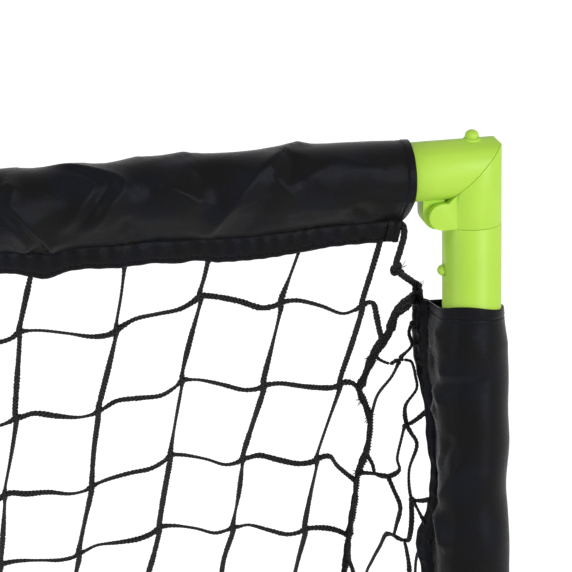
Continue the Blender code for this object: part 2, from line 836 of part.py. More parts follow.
def middle():
    """The pieces that span the goal."""
    left_top = Vector((-HALF, 0, BAR_HEIGHT))
    left_rear = Vector((-HALF, BASE_DEPTH, BASE_HEIGHT))
    tube("crossbar_tube", left_top, X, POST_SPACING, (-Z, -Z), BAR_ARM_LENGTH)
    tube("rear_tube", left_rear, X, POST_SPACING, (Z, Z))
    bar_length = POST_SPACING - 2 * BAR_SLEEVE_INSET
    rear_length = POST_SPACING - 2 * SLEEVE_INSET
    sleeve(
        "crossbar_sleeve",
        left_top + X * BAR_SLEEVE_INSET,
        X,
        BAR_TAPE_WAY,
        bar_length,
        BAR_APEX,
        BAR_FOLD,
        14,
        16,
    )
    tape(
        "crossbar_tape",
        left_top + X * BAR_SLEEVE_INSET,
        X,
        BAR_TAPE_WAY,
        bar_length,
        BAR_APEX + SEAT,
        BAR_TAPE_DEPTH,
        7,
    )
    sleeve(
        "rear_sleeve", left_rear + X * SLEEVE_INSET, X, REAR_TAPE_WAY, rear_length, SLEEVE_APEX, 0.0, 8, 16
    )
    tape(
        "rear_tape",
        left_rear + X * SLEEVE_INSET,
        X,
        REAR_TAPE_WAY,
        rear_length,
        SLEEVE_APEX + SEAT,
        TAPE_DEPTH,
        6,
    )
    back_net()


def snap_tongues():
    """One tongue for every spigot, sharing one mesh, each with its origin at its root."""
    mesh = tongue_mesh()
    mesh.materials.clear()
    mesh.materials.append(PLASTIC)
    spots = {
        "bar_snap": (TOP, -X, -Z, BAR_ARM_LENGTH),
        "post_top_snap": (TOP, -Z, -X, ARM_LENGTH),
        "post_foot_snap": (FOOT, Z, -X, ARM_LENGTH),
        "side_front_snap": (FOOT, Y, -X, ARM_LENGTH),
        "side_rear_snap": (REAR, -Y, -X, ARM_LENGTH),
        "rear_snap": (REAR, -X, Z, ARM_LENGTH),
    }
    flip = Matrix.Scale(-1, 3, X)
    for name, (corner, along, towards, arm) in spots.items():
        right = bpy.data.objects.new(name + "_R", mesh)
        right.matrix_world = tongue_frame(corner, along, towards, arm)
        PARTS.objects.link(right)
        left = bpy.data.objects.new(name + "_L", mesh)
        left.matrix_world = tongue_frame(flip @ corner, flip @ along, flip @ towards, arm)
        PARTS.objects.link(left)


def smooth_round_faces():
    for obj in PARTS.objects:
        if obj.type == "MESH":
            obj.data.shade_smooth()
            obj.data.set_sharp_from_angle(angle=math.radians(35))


def centre_on_floor():
    """Hangs every piece on one empty, moved so that the goal stands centred on the origin."""
    bpy.context.view_layer.update()
    graph = bpy.context.evaluated_depsgraph_get()
    depths = []
    for obj in PARTS.objects:
        shown = obj.evaluated_get(graph)
        depths += [(obj.matrix_world @ vert.co).y for vert in shown.to_mesh().vertices]
        shown.to_mesh_clear()
    origin = bpy.data.objects.new("goal_origin", None)
    PARTS.objects.link(origin)
    for obj in list(PARTS.objects) + list(CUTTERS.objects):
        if obj is not origin:
            obj.parent = origin
    origin.location.y = -(min(depths) + max(depths)) / 2
    print("origin moved by", round(origin.location.y, 6))


def main():
    middle()
    for piece in right_side():
        mirrored(piece)
    snap_tongues()
    smooth_round_faces()
    centre_on_floor()


main()
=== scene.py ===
"""Dresses the knock-down hockey goal: lime plastic frame, black cloth sleeves and a braided net."""

import json
import logging
import math
from collections.abc import Callable
from dataclasses import dataclass, field, replace
from enum import Enum

import bmesh
import bpy
import numpy as np
from mathutils import Matrix, Vector

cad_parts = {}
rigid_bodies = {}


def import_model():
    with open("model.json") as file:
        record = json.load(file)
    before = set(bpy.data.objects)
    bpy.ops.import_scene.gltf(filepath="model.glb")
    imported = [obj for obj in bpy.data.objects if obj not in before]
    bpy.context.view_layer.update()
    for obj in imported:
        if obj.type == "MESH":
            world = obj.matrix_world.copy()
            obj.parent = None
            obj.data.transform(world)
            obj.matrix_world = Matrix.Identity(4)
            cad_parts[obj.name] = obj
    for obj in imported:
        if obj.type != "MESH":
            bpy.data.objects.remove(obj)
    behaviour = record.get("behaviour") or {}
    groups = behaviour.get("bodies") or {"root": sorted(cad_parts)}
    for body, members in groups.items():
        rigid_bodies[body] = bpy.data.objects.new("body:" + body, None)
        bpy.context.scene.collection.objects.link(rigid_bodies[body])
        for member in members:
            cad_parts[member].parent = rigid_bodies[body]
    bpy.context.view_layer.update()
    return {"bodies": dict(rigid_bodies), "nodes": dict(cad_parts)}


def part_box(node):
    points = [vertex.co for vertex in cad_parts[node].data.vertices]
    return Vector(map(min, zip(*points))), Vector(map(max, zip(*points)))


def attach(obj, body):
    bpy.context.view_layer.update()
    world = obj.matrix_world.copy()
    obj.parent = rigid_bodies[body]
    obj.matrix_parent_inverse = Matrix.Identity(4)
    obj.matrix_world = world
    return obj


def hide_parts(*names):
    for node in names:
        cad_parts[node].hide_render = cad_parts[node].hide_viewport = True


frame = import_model()

LOG = logging.getLogger("goal")
MM = 0.001
FRAME_BODY = "goal_frame"
BAR_LEAN, POST_LEAN, REAR_LEAN = (math.radians(x) for x in (12.5, 40, 56))
BAR_WAY = np.array([0, math.sin(BAR_LEAN), -math.cos(BAR_LEAN)])
REAR_WAY = np.array([0, -math.sin(REAR_LEAN), math.cos(REAR_LEAN)])

# In millimetres: from a post to the crossbar's sleeve, from the crossbar to a post's sleeve, and from
# a lower corner to the sleeves that end near it; the girths of the crossbar's and the other sleeves;
# and the part of the other sleeves that has scattered folds.
BAR_START, POST_START, SLEEVE_INSET = 34.5, 79, 76
BAR_GIRTH, GIRTH = 160, 136
AROUND = (16, 110)

Pairs = tuple[tuple[float, float], ...]
Points = list[np.ndarray]
Bends = list[tuple[float, np.ndarray]]


class Side(Enum):
    """The goal's two sides, by the sign of X."""

    RIGHT = 1
    LEFT = -1

    @property
    def letter(self) -> str:
        """The letter that ends the names of this side's nodes."""
        return "R" if self is Side.RIGHT else "L"


@dataclass(frozen=True)
class Measures:
    """Places of the goal's tubes, read from the CAD nodes, in metres in the row frame."""

    half: float
    bar_height: float
    front: float
    rear: float
    base_height: float
    tube_radius: float

    @classmethod
    def read(cls) -> "Measures":
        """Reads the centre lines from the boxes of the tubes.

        Returns:
            The measures.
        """
        bar_low, bar_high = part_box("crossbar_tube")
        post_low, post_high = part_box("post_tube_R")
        rear_low, rear_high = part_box("rear_tube")
        return cls(
            half=(post_low.x + post_high.x) / 2,
            bar_height=(bar_low.z + bar_high.z) / 2,
            front=(bar_low.y + bar_high.y) / 2,
            rear=(rear_low.y + rear_high.y) / 2,
            base_height=(rear_low.z + rear_high.z) / 2,
            tube_radius=(bar_high.z - bar_low.z) / 2,
        )

    def top(self, side: Side) -> Vector:
        """Where the crossbar's and a post's centre lines meet."""
        return Vector((side.value * self.half, self.front, self.bar_height))

    def behind_post(self, side: Side, reach: float, height: float) -> np.ndarray:
        """A point at a height, off a post the way that its flap points."""
        x = side.value * (self.half - math.sin(POST_LEAN) * reach)
        return np.array([x, self.front + math.cos(POST_LEAN) * reach, height])


def post_way(side: Side) -> np.ndarray:
    """The way that a post's flap points."""
    return np.array([-side.value * math.sin(POST_LEAN), math.cos(POST_LEAN), 0])


# ---------------------------------------------------------------- finishes


class Graph:
    """A material's or the world's node tree, with short calls for the nodes used here."""

    def __init__(self, name: str, world: bool = False) -> None:
        """Makes the material and clears its tree.

        Args:
            name: the material's name.
            world: whether it is the world instead.
        """
        self.block = (bpy.data.worlds if world else bpy.data.materials).new(name)
        self.block.use_nodes = True
        self.tree = self.block.node_tree
        self.tree.nodes.clear()
        self.output = self.tree.nodes.new("ShaderNodeOutputWorld" if world else "ShaderNodeOutputMaterial")

    def node(self, kind: str, inputs: dict | None = None, **settings: object) -> bpy.types.Node:
        """Adds a node.

        Args:
            kind: its type, without the ShaderNode prefix.
            inputs: values or output sockets, by the input's name or number.
            **settings: attributes of the node.

        Returns:
            The node.
        """
        made = self.tree.nodes.new("ShaderNode" + kind)
        for key, value in settings.items():
            setattr(made, key, value)
        for key, value in (inputs or {}).items():
            if isinstance(value, bpy.types.NodeSocket):
                self.tree.links.new(value, made.inputs[key])
            else:
                made.inputs[key].default_value = value
        return made

    def math(self, operation: str, first: object, second: object = 0.0, third: object = 0.0) -> bpy.types.NodeSocket:
        """One Math node's result."""
        return self.node("Math", {0: first, 1: second, 2: third}, operation=operation).outputs[0]

    def noise(self, vector: bpy.types.NodeSocket, scale: float, detail: float = 3.0) -> bpy.types.NodeSocket:
        """A noise texture's value."""
        return self.node("TexNoise", {"Vector": vector, "Scale": scale, "Detail": detail}).outputs["Fac"]

    def ramp(
        self, value: bpy.types.NodeSocket, low: float, high: float, dark: float = 0.0, light: float = 1.0
    ) -> bpy.types.NodeSocket:
        """Maps low..high to dark..light, held at both ends."""
        inputs = {"Value": value, "From Min": low, "From Max": high, "To Min": dark, "To Max": light}
        return self.node("MapRange", inputs).outputs[0]

    def mix(self, share: object, first: object, second: object) -> bpy.types.NodeSocket:
        """Mixes two colours."""
        return self.node("Mix", {0: share, 6: first, 7: second}, data_type="RGBA").outputs[2]

    def bump(self, height: bpy.types.NodeSocket, distance: float, strength: float = 1.0) -> bpy.types.NodeSocket:
        """A bump of that height in metres."""
        return self.node("Bump", {"Height": height, "Distance": distance, "Strength": strength}).outputs[0]

    def object_space(self) -> bpy.types.NodeSocket:
        """Object coordinates, which are the row frame's metres."""
        return self.node("TexCoord").outputs["Object"]

    def cut_axes(self) -> tuple[bpy.types.NodeSocket, bpy.types.Node]:
        """The piece's own UV map, in metres along and across, and the node that parts its axes."""
        cut = self.node("UVMap", uv_map="cut").outputs[0]
        return cut, self.node("SeparateXYZ", {0: cut})

    def seen(self) -> bpy.types.NodeSocket:
        """1 for what the camera sees, also in mirrors and through clear things, and 0 for other rays."""
        rays = self.node("LightPath").outputs
        either = self.math("MAXIMUM", rays["Is Camera Ray"], rays["Is Glossy Ray"])
        return self.math("MAXIMUM", either, rays["Is Transmission Ray"])

    def end(self, last: bpy.types.Node) -> bpy.types.ID:
        """Ends the tree in that node, and returns the material or the world."""
        self.tree.links.new(last.outputs[0], self.output.inputs[0])
        return self.block

    def finish(self, inputs: dict) -> bpy.types.Material:
        """Ends the tree in a Principled shader with those inputs, and returns the material."""
        return self.end(self.node("BsdfPrincipled", inputs))


@dataclass(frozen=True)
class LimePlastic:
    """Satin moulded polypropylene, a little mottled, with faint moulding texture."""

    colour: tuple = (0.445, 0.701, 0.065, 1.0)
    shade: tuple = (0.375, 0.640, 0.048, 1.0)
    mottle: float = 0.45
    roughness: float = 0.46
    scuffing: float = 0.16
    cloud_scale: float = 26.0
    grain_scale: float = 2600.0
    scuff_scale: float = 190.0
    ripple_scale: float = 60.0
    relief: float = 0.02 * MM

    def make(self) -> bpy.types.Material:
        """Builds the material.

        Returns:
            The material.
        """
        graph = Graph("lime_plastic_finish")
        place = graph.object_space()
        cloud = graph.ramp(graph.noise(place, self.cloud_scale, 2.0), 0.35, 0.7)
        grain = graph.noise(place, self.grain_scale, 2.0)
        scuff = graph.ramp(graph.noise(place, self.scuff_scale, 5.0), 0.56, 0.8)
        ripple = graph.noise(place, self.ripple_scale, 1.0)
        height = graph.math("MULTIPLY_ADD", ripple, 4.0, grain)
        return graph.finish(
            {
                "Base Color": graph.mix(graph.math("MULTIPLY", cloud, self.mottle), self.colour, self.shade),
                "Roughness": graph.math("MULTIPLY_ADD", scuff, self.scuffing, self.roughness),
                "Normal": graph.bump(height, self.relief, 0.6),
                "Subsurface Weight": 0.08,
                "Subsurface Radius": (0.9, 1.0, 0.2),
                "Subsurface Scale": 0.002,
                "Specular IOR Level": 0.36,
            }
        )


@dataclass(frozen=True)
class CoatedPolyester:
    """Black woven polyester with a coating: warm black, with a fine weave, and blue glints painted into its colour in
    random specks.
    """

    colour: tuple = (0.0066, 0.0063, 0.0047, 1.0)
    # Painted glint: the lighter bluish colour that the specks take in place of real glints.
    painted_glint: tuple = (0.0070, 0.0074, 0.0120, 1.0)
    thread_pitch: float = 0.55 * MM
    speck_scale: float = 900.0
    broad_scale: float = 38.0
    slub_scale: tuple = (160.0, 1400.0, 1.0)
    roughness: float = 0.15
    wear: float = 0.18
    relief: float = 0.06 * MM

    def make(self) -> bpy.types.Material:
        """Builds the material.

        Returns:
            The material.
        """
        graph = Graph("black_polyester_finish")
        cut, axes = graph.cut_axes()
        turns = 2 * math.pi / self.thread_pitch
        warp, weft = (graph.math("SINE", graph.math("MULTIPLY", axes.outputs[k], turns)) for k in (0, 1))
        weave = graph.math("MULTIPLY", warp, weft)
        speck = graph.noise(cut, self.speck_scale, 1.0)
        broad = graph.noise(cut, self.broad_scale, 3.0)
        slub = graph.noise(graph.node("Mapping", {0: cut, 3: self.slub_scale}).outputs[0], 1.0, 2.0)
        # Painted glint: a random share of specks turns the colour a lighter blue, standing in for glints off the
        # weave.
        painted_glint_share = graph.ramp(graph.math("MULTIPLY", speck, broad), 0.22, 0.36)
        height = graph.math("ADD", graph.math("MULTIPLY", weave, 0.4), graph.math("MULTIPLY", speck, 2.2))
        return graph.finish(
            {
                "Base Color": graph.mix(painted_glint_share, self.colour, self.painted_glint),
                "Roughness": graph.math("MULTIPLY_ADD", broad, self.wear, self.roughness),
                "Normal": graph.bump(graph.math("ADD", height, slub), self.relief),
                "Specular IOR Level": 0.070,
                "Specular Tint": (0.74, 0.78, 1.0, 1.0),
            }
        )


@dataclass(frozen=True)
class BraidedCord:
    """Black flat braid: plaits in a herringbone, with painted shade darkening the hollows between them."""

    colour: tuple = (0.0260, 0.0260, 0.0290, 1.0)
    painted_hollow_shade: tuple = (0.0006, 0.0006, 0.0006, 1.0)
    plait: float = 2.2 * MM
    fuzz_scale: float = 2400.0
    relief: float = 0.5 * MM

    def make(self) -> bpy.types.Material:
        """Builds the material.

        Returns:
            The material.
        """
        graph = Graph("black_cord_finish")
        _, axes = graph.cut_axes()
        turns = 2 * math.pi / self.plait
        along, across = (graph.math("MULTIPLY", axes.outputs[k], turns) for k in (0, 1))
        one, other = (graph.math("SINE", graph.math(sign, along, across)) for sign in ("ADD", "SUBTRACT"))
        plaits = graph.math("MAXIMUM", one, other)
        fuzz = graph.noise(graph.object_space(), self.fuzz_scale, 2.0)
        return graph.finish(
            {
                # Painted shade: the hollows between the plaits are painted near black.
                "Base Color": graph.mix(graph.ramp(plaits, 0.45, 1.0), self.painted_hollow_shade, self.colour),
                "Roughness": 0.52,
                "Normal": graph.bump(graph.math("MULTIPLY_ADD", fuzz, 0.5, plaits), self.relief),
                "Specular IOR Level": 0.20,
            }
        )


@dataclass(frozen=True)
class SewingThread:
    """Black polyester thread, twisted and slightly shiny."""

    dark: tuple = (0.0012, 0.0012, 0.0016, 1.0)
    light: tuple = (0.0040, 0.0040, 0.0050, 1.0)
    twist_scale: float = 3200.0
    relief: float = 0.1 * MM

    def make(self) -> bpy.types.Material:
        """Builds the material.

        Returns:
            The material.
        """
        graph = Graph("sewing_thread_finish")
        twist = graph.noise(graph.object_space(), self.twist_scale, 2.0)
        return graph.finish(
            {
                "Base Color": graph.mix(twist, self.dark, self.light),
                "Roughness": 0.60,
                "Normal": graph.bump(twist, self.relief, 0.6),
                "Specular IOR Level": 0.06,
            }
        )


@dataclass(frozen=True)
class TurnedSteel:
    """The bare end of a turned pin."""

    scratch_scale: float = 900.0
    relief: float = 0.03 * MM

    def make(self) -> bpy.types.Material:
        """Builds the material.

        Returns:
            The material.
        """
        graph = Graph("pin_steel_finish")
        scratch = graph.noise(graph.object_space(), self.scratch_scale, 4.0)
        return graph.finish(
            {
                "Base Color": (0.55, 0.55, 0.56, 1.0),
                "Metallic": 1.0,
                "Roughness": graph.ramp(scratch, 0.3, 0.7, 0.25, 0.45),
                "Normal": graph.bump(scratch, self.relief, 0.5),
            }
        )


@dataclass(frozen=True)
class Finishes:
    """Every finish of the goal, made once."""

    lime: bpy.types.Material
    cloth: bpy.types.Material
    cord: bpy.types.Material
    thread: bpy.types.Material
    steel: bpy.types.Material

    @classmethod
    def make(cls) -> "Finishes":
        """Builds the materials."""
        return cls(*(kind().make() for kind in (LimePlastic, CoatedPolyester, BraidedCord, SewingThread, TurnedSteel)))


# ---------------------------------------------------------------- helpers


def bell(distance: np.ndarray, width: float) -> np.ndarray:
    """A bell curve: 1 at no distance, falling to a third at the width."""
    return np.exp(-((distance / width) ** 2))


def unit(vectors: np.ndarray) -> np.ndarray:
    """The vectors, each of length 1."""
    return vectors / np.linalg.norm(vectors, axis=1)[:, None]


def reach_along(points: np.ndarray) -> np.ndarray:
    """How far along its line each point lies."""
    return np.concatenate([[0], np.cumsum(np.linalg.norm(np.diff(points, axis=0), axis=1))])


def spread(points: np.ndarray, step: float) -> np.ndarray:
    """Points of a smooth curve through the given ones, a step apart.

    Args:
        points: the points that the curve passes, (N, 3).
        step: the distance between the new points.

    Returns:
        The new points.
    """
    padded = np.vstack([2 * points[0] - points[1], points, 2 * points[-1] - points[-2]])
    t = np.linspace(0, 1, 12, endpoint=False)[:, None]
    fine = []
    for i in range(1, len(padded) - 2):
        a, b, c, d = padded[i - 1 : i + 3]
        fine.append(
            0.5 * (2 * b + (c - a) * t + (2 * a - 5 * b + 4 * c - d) * t**2 + (3 * b - a - 3 * c + d) * t**3)
        )
    fine = np.vstack([*fine, points[-1:]])
    reach = reach_along(fine)
    count = max(int(round(reach[-1] / step)), 2)
    wanted = np.linspace(0, reach[-1], count + 1)
    return np.stack([np.interp(wanted, reach, fine[:, k]) for k in range(3)], axis=1)


def placed_grid(columns: int, rows: int, place: Callable) -> bmesh.types.BMesh:
    """A grid closed round its second direction, whose points are moved all at once.

    Args:
        columns: faces along the first direction.
        rows: faces along the second direction.
        place: takes two arrays of shares from 0 to 1, and returns points (N, 3) and UVs (N, 2) in metres.

    Returns:
        The mesh, with its seam merged, its normals outward and a UV map named cut.
    """
    bm = bmesh.new()
    bmesh.ops.create_grid(bm, x_segments=columns, y_segments=rows, size=0.5)
    shares = np.array([vert.co[:2] for vert in bm.verts]) + 0.5
    points, uvs = place(shares[:, 0], shares[:, 1])
    layer = bm.loops.layers.uv.new("cut")
    for vert, point in zip(bm.verts, points.tolist()):
        vert.co = point
    for face in bm.faces:
        for loop in face.loops:
            loop[layer].uv = uvs[loop.vert.index]
    bmesh.ops.remove_doubles(bm, verts=bm.verts, dist=0.004 * MM)
    bmesh.ops.recalc_face_normals(bm, faces=bm.faces)
    return bm


def swept(
    path: np.ndarray,
    wide: np.ndarray | float,
    thick: np.ndarray | float,
    sides: int,
    facing: np.ndarray,
    twist: np.ndarray | float = 0.0,
) -> bmesh.types.BMesh:
    """An oval cord along a path, closed at both ends.

    Args:
        path: the points that it follows, (N, 3).
        wide: half its width, at each point or throughout.
        thick: half its thickness, at each point or throughout.
        sides: its number of sides.
        facing: the direction that its flat side faces.
        twist: how far it is turned about the path, in radians.

    Returns:
        The mesh.
    """
    count = len(path)
    ahead = unit(np.gradient(path, axis=0))
    across = np.cross(ahead, facing)
    size = np.linalg.norm(across, axis=1)[:, None]
    across = unit(np.where(size > 0.15, across / np.maximum(size, 1e-9), np.cross(ahead, [0.3, 0.2, 0.9])))
    out = np.cross(across, ahead)
    angle = np.broadcast_to(twist, (count,))[:, None]
    across, out = across * np.cos(angle) + out * np.sin(angle), out * np.cos(angle) - across * np.sin(angle)
    wide = np.broadcast_to(wide, (count,)).copy()
    thick = np.broadcast_to(thick, (count,)).copy()
    wide[[0, -1]] = 0
    thick[[0, -1]] = 0
    reach = reach_along(path)
    girth = 2 * math.pi * float(np.mean(wide[1:-1] + thick[1:-1])) / 2

    def place(along: np.ndarray, around: np.ndarray) -> tuple[np.ndarray, np.ndarray]:
        """Puts the grid's points round the path."""
        k = np.rint(along * (count - 1)).astype(int)
        turn = 2 * math.pi * around
        points = path[k] + across[k] * (wide[k] * np.cos(turn))[:, None] + out[k] * (thick[k] * np.sin(turn))[:, None]
        return points, np.stack([reach[k], around * girth], axis=1)

    return placed_grid(count - 1, sides, place)


def hair(points: list, step: float, thick: float, facing: tuple) -> bmesh.types.BMesh:
    """One loose thread end through its points."""
    return swept(spread(np.array(points), step), thick, thick, 4, np.array(facing))


def merge_into(target: bmesh.types.BMesh, source: bmesh.types.BMesh) -> None:
    """Adds one mesh to another, and frees it.

    Args:
        target: the mesh that grows.
        source: the mesh that goes into it.
    """
    mesh = bpy.data.meshes.new("part")
    source.to_mesh(mesh)
    source.free()
    target.from_mesh(mesh)
    bpy.data.meshes.remove(mesh)


def new_piece(name: str, bm: bmesh.types.BMesh, finish: bpy.types.Material) -> bpy.types.Object:
    """A smooth-shaded object at the origin.

    Args:
        name: the piece's name.
        bm: its mesh, which is freed.
        finish: its material.

    Returns:
        The object.
    """
    mesh = bpy.data.meshes.new(name)
    bm.to_mesh(mesh)
    bm.free()
    mesh.shade_smooth()
    mesh.materials.append(finish)
    made = bpy.data.objects.new(name, mesh)
    bpy.context.scene.collection.objects.link(made)
    return made


def dress(piece: bpy.types.Object, slot: str, *replaced: str, body: str = FRAME_BODY) -> bpy.types.Object:
    """Puts a piece on its body.

    Args:
        piece: the piece.
        slot: not used.
        *replaced: the CAD nodes that it stands for.
        body: the body that it rides.

    Returns:
        The piece.
    """
    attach(piece, body)
    if replaced:
        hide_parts(*replaced)
    LOG.info("%s: %d faces", piece.name, len(piece.data.polygons))
    return piece


# ---------------------------------------------------------------- sleeves


def laid_flat(points: Pairs, step: float) -> np.ndarray:
    """A smooth line through points in millimetres, as (N, 2) in metres."""
    return spread(np.array([(x, y, 0.0) for x, y in points]) * MM, step)[:, :2]


@dataclass(frozen=True)
class Fold:
    """A crest or a valley in the cloth, along a smooth line.

    The line's points are (distance along the sleeve, distance round it from the flap's front
    edge) in millimetres. A negative height is a valley.
    """

    points: Pairs
    width: float
    height: float
    fade: float = 0.3
    end_height: float = 0.12
    crest: float = 0.12

    def lift(self, along: np.ndarray, around: np.ndarray) -> np.ndarray:
        """How far the fold lifts each point of the cloth, in metres.

        Args:
            along: distances along.
            around: distances around.

        Returns:
            The distances off the cloth.
        """
        line = laid_flat(self.points, 1.6 * MM)
        width = self.width * MM
        reach = 5 * width
        low, high = line.min(axis=0) - reach, line.max(axis=0) + reach
        near = (along > low[0]) & (along < high[0]) & (around > low[1]) & (around < high[1])
        lift = np.zeros_like(along)
        if not near.any():
            return lift
        away = (along[near, None] - line[:, 0]) ** 2 + (around[near, None] - line[:, 1]) ** 2
        share = away.argmin(axis=1) / (len(line) - 1)
        fade = np.clip(np.minimum(share, 1 - share) / self.fade, 0, 1)
        fade = fade * fade * (3 - 2 * fade)
        crest = self.crest * width
        slope = (np.sqrt(away.min(axis=1) + crest**2) - crest) / width
        lift[near] = self.height * MM * (self.end_height + (1 - self.end_height) * fade) * np.exp(-slope)
        return lift


@dataclass
class Sleeve:
    """Cloth sewn into a teardrop round a tube, its seam a stitched channel like a flat flap.

    Distances along are from the sleeve's start, distances around from the channel's front edge.
    """

    tube: str
    ending: str
    start: Vector
    along: Vector
    towards: Vector
    length: float
    tube_radius: float
    folds: list[Fold]
    seed: int
    apex: float = 23.5 * MM
    flap: float = 8.5 * MM
    hem_line: Pairs = ((0, 0), (1, 0))
    fullness: float = 0.7 * MM
    slack: float = 0.6 * MM
    step: float = 2.0 * MM
    round_step: float = 1.5 * MM
    ease: float = 1.2 * MM
    clear: float = 0.3 * MM
    softness: float = 0.3 * MM
    flap_retreat: float = 2.5 * MM
    retreat_width: float = 17 * MM
    retreat_scale: float = 18 * MM
    bag: float = 1.2 * MM
    bag_at: float = 26 * MM
    bag_width: float = 11 * MM
    rim_rise: float = 0.0
    rim_rise_at: float = 0.0
    rim_rise_width: float = 19 * MM
    waves: int = 9
    pucker: float = 0.55 * MM
    pucker_width: float = 5 * MM
    pucker_pitch: float = 7.5 * MM
    ripple_pitch: float = 9.5 * MM
    end_reach: float = 20 * MM
    end_lift: float = 0.15
    hem: float = 6.0 * MM
    hem_stitch: float = 1.4 * MM
    hem_relief: float = 0.45 * MM
    hem_slope: float = 0.7 * MM
    hem_groove: float = 0.65 * MM
    hem_groove_width: float = 0.6 * MM
    row_groove: float = 0.45 * MM
    row_groove_width: float = 0.8 * MM
    turned_rings: int = 5
    turned_step: float = 1.8 * MM
    turned_in: float = 12 * MM
    thickness: float = 0.8 * MM
    stitch_pitch: float = 3.1 * MM
    stitch_margin: float = 2 * MM
    dash: tuple = (1.1 * MM, 0.26 * MM, 0.26 * MM, 1)
    dash_proud: float = 0.1 * MM

    def __post_init__(self) -> None:
        """Works out the section: channel front, tangent, arc, tangent, channel back."""
        snug = self.tube_radius + self.ease
        opening = math.acos(snug / self.apex)
        arc = np.linspace(opening, 2 * math.pi - opening, 90)
        tip = self.apex + self.flap
        front = [(tip, 0.0), (tip - 0.6 * MM, 0.9 * MM), (tip - 0.45 * self.flap, 1.5 * MM)]
        front += [(self.apex + 0.6 * MM, 0.8 * MM)]
        back = [(x, -y) for x, y in reversed(front)]
        outline = np.array(front + [(snug * math.cos(a), snug * math.sin(a)) for a in arc] + back)
        reach = reach_along(outline)
        fine = np.linspace(0, reach[-1], 1200)
        points = np.stack([np.interp(fine, reach, outline[:, k]) for k in range(2)], axis=1)
        kernel = np.hanning(17) / np.hanning(17).sum()
        rounded = np.stack([np.convolve(np.pad(points[:, k], 8, "edge"), kernel, "valid") for k in range(2)], 1)
        keep = np.clip(np.minimum(fine, reach[-1] - fine) / (2 * MM), 0, 1)[:, None]
        self.section = points * (1 - keep) + rounded * keep
        self.girth = float(reach[-1])
        self.axes = np.array([self.towards, self.along.cross(self.towards), self.along])
        self.name = f"{self.tube}_sleeve{self.ending}"
        self.rows = (self.flap - 0.4 * MM, 3.2 * MM)

    def wave(self, along: np.ndarray, around: np.ndarray) -> np.ndarray:
        """Broad slack, and finer puckers near the stitched channel.

        Args:
            along: distances along.
            around: distances around.

        Returns:
            How far they lift each point.
        """
        rng = np.random.default_rng(self.seed)
        lift = np.zeros_like(along)
        for _ in range(self.waves):
            pitch = rng.uniform(0.035, 0.11)
            lean = rng.uniform(-0.9, 0.9)
            phase = rng.uniform(0, 2 * math.pi)
            lift += rng.uniform(0.3, 1.0) * np.sin(2 * math.pi * (along + lean * around) / pitch + phase)
        lift *= self.slack / 3.0
        edge = np.minimum(around, self.girth - around)
        phase = 2 * math.pi * along / self.pucker_pitch + 2.5 * np.sin(along * 61.0 + self.seed)
        pucker = self.pucker * bell(edge - self.flap, self.pucker_width)
        lift += pucker * np.sin(phase) * (0.6 + 0.4 * np.sin(along * 133.0))
        return lift + self.fullness

    def lift(self, along: np.ndarray, around: np.ndarray, flatness: np.ndarray) -> np.ndarray:
        """How far the cloth stands off its section.

        Args:
            along: distances along.
            around: distances around.
            flatness: 1 on the channel, where folds are sewn down, and 0 away from it.

        Returns:
            The distances, in metres.
        """
        lift = self.wave(along, around)
        for fold in self.folds:
            lift += fold.lift(along, around)
        edge = np.minimum(around, self.girth - around)
        lift += self.bag * bell(edge - self.bag_at, self.bag_width) * (1 + 0.22 * np.sin(along * 52.0 + self.seed))
        inward = np.minimum(along, self.length - along)
        ends = np.clip(inward / self.end_reach, 0, 1)
        lift *= (self.end_lift + (1 - self.end_lift) * ends) * (1 - 0.65 * flatness)
        floor = self.clear - self.ease
        lift = floor + self.softness * np.logaddexp(0, (lift - floor) / self.softness)
        lift += self.hem_relief * np.clip((self.hem - inward) / self.hem_slope, 0, 1)
        lift -= self.hem_groove * bell(inward - self.hem + self.hem_stitch, self.hem_groove_width)
        for row in self.rows:
            lift -= self.row_groove * bell(edge - row, self.row_groove_width)
        band = np.clip(edge / (2 * MM), 0, 1) * np.clip((self.flap - edge) / (3 * MM), 0, 1)
        phase = 2 * math.pi * along / self.ripple_pitch + 3 * np.sin(along * 43.0 + self.seed)
        return lift + band * MM * (0.5 + 0.5 * np.sin(phase))

    def surface(self, along: np.ndarray, around: np.ndarray, proud: np.ndarray | float = 0.0) -> np.ndarray:
        """Points of the cloth.

        Args:
            along: distances along.
            around: distances around.
            proud: how far the points stand off the cloth.

        Returns:
            The points in the row frame, (N, 3).
        """
        index = np.clip(around / self.girth, 0, 1) * (len(self.section) - 1)
        low = np.clip(np.floor(index).astype(int), 0, len(self.section) - 2)
        share = (index - low)[:, None]
        flat = self.section[low] * (1 - share) + self.section[low + 1] * share
        slope = self.section[low + 1] - self.section[low]
        normal = unit(np.stack([slope[:, 1], -slope[:, 0]], axis=1))
        radius = np.linalg.norm(flat, axis=1)
        flatness = np.clip((radius - self.apex + 3 * MM) / (3 * MM), 0, 1)
        flat = flat + normal * (self.lift(along, around, flatness) + proud)[:, None]
        hang = np.clip((radius - self.tube_radius) / (self.apex + self.flap - self.tube_radius), 0, 1)
        reach = 0.6 * MM * (np.sin(along * 47.0 + self.seed) + 0.6 * np.sin(along * 113.0 + 2 * self.seed))
        flat[:, 0] += (reach + np.interp(along, *laid_flat(self.hem_line, 2 * MM).T)) * hang
        flat[:, 1] += 1.4 * MM * hang * np.sin(along * 71.0 + 3 * self.seed)
        retreat = self.flap_retreat * bell(np.minimum(around, self.girth - around), self.retreat_width)
        rise = self.rim_rise * bell(around - self.rim_rise_at, self.rim_rise_width)
        place = along + (retreat - rise) * np.exp(-along / self.retreat_scale)
        place -= retreat * np.exp(-(self.length - along) / self.retreat_scale)
        return np.column_stack([flat, place]) @ self.axes + np.array(self.start)

    def ring_places(self) -> np.ndarray:
        """Distances of the cloth's rings, closer together on the hems."""
        near = self.hem * np.array([0, 0.12, 0.35, 0.55, 0.68, 0.77, 0.86, 0.97, 1.06, 1.2])
        middle = np.arange(1.45 * self.hem, self.length - 1.3 * self.hem, self.step)
        return np.concatenate([near, middle, self.length - near[::-1]])

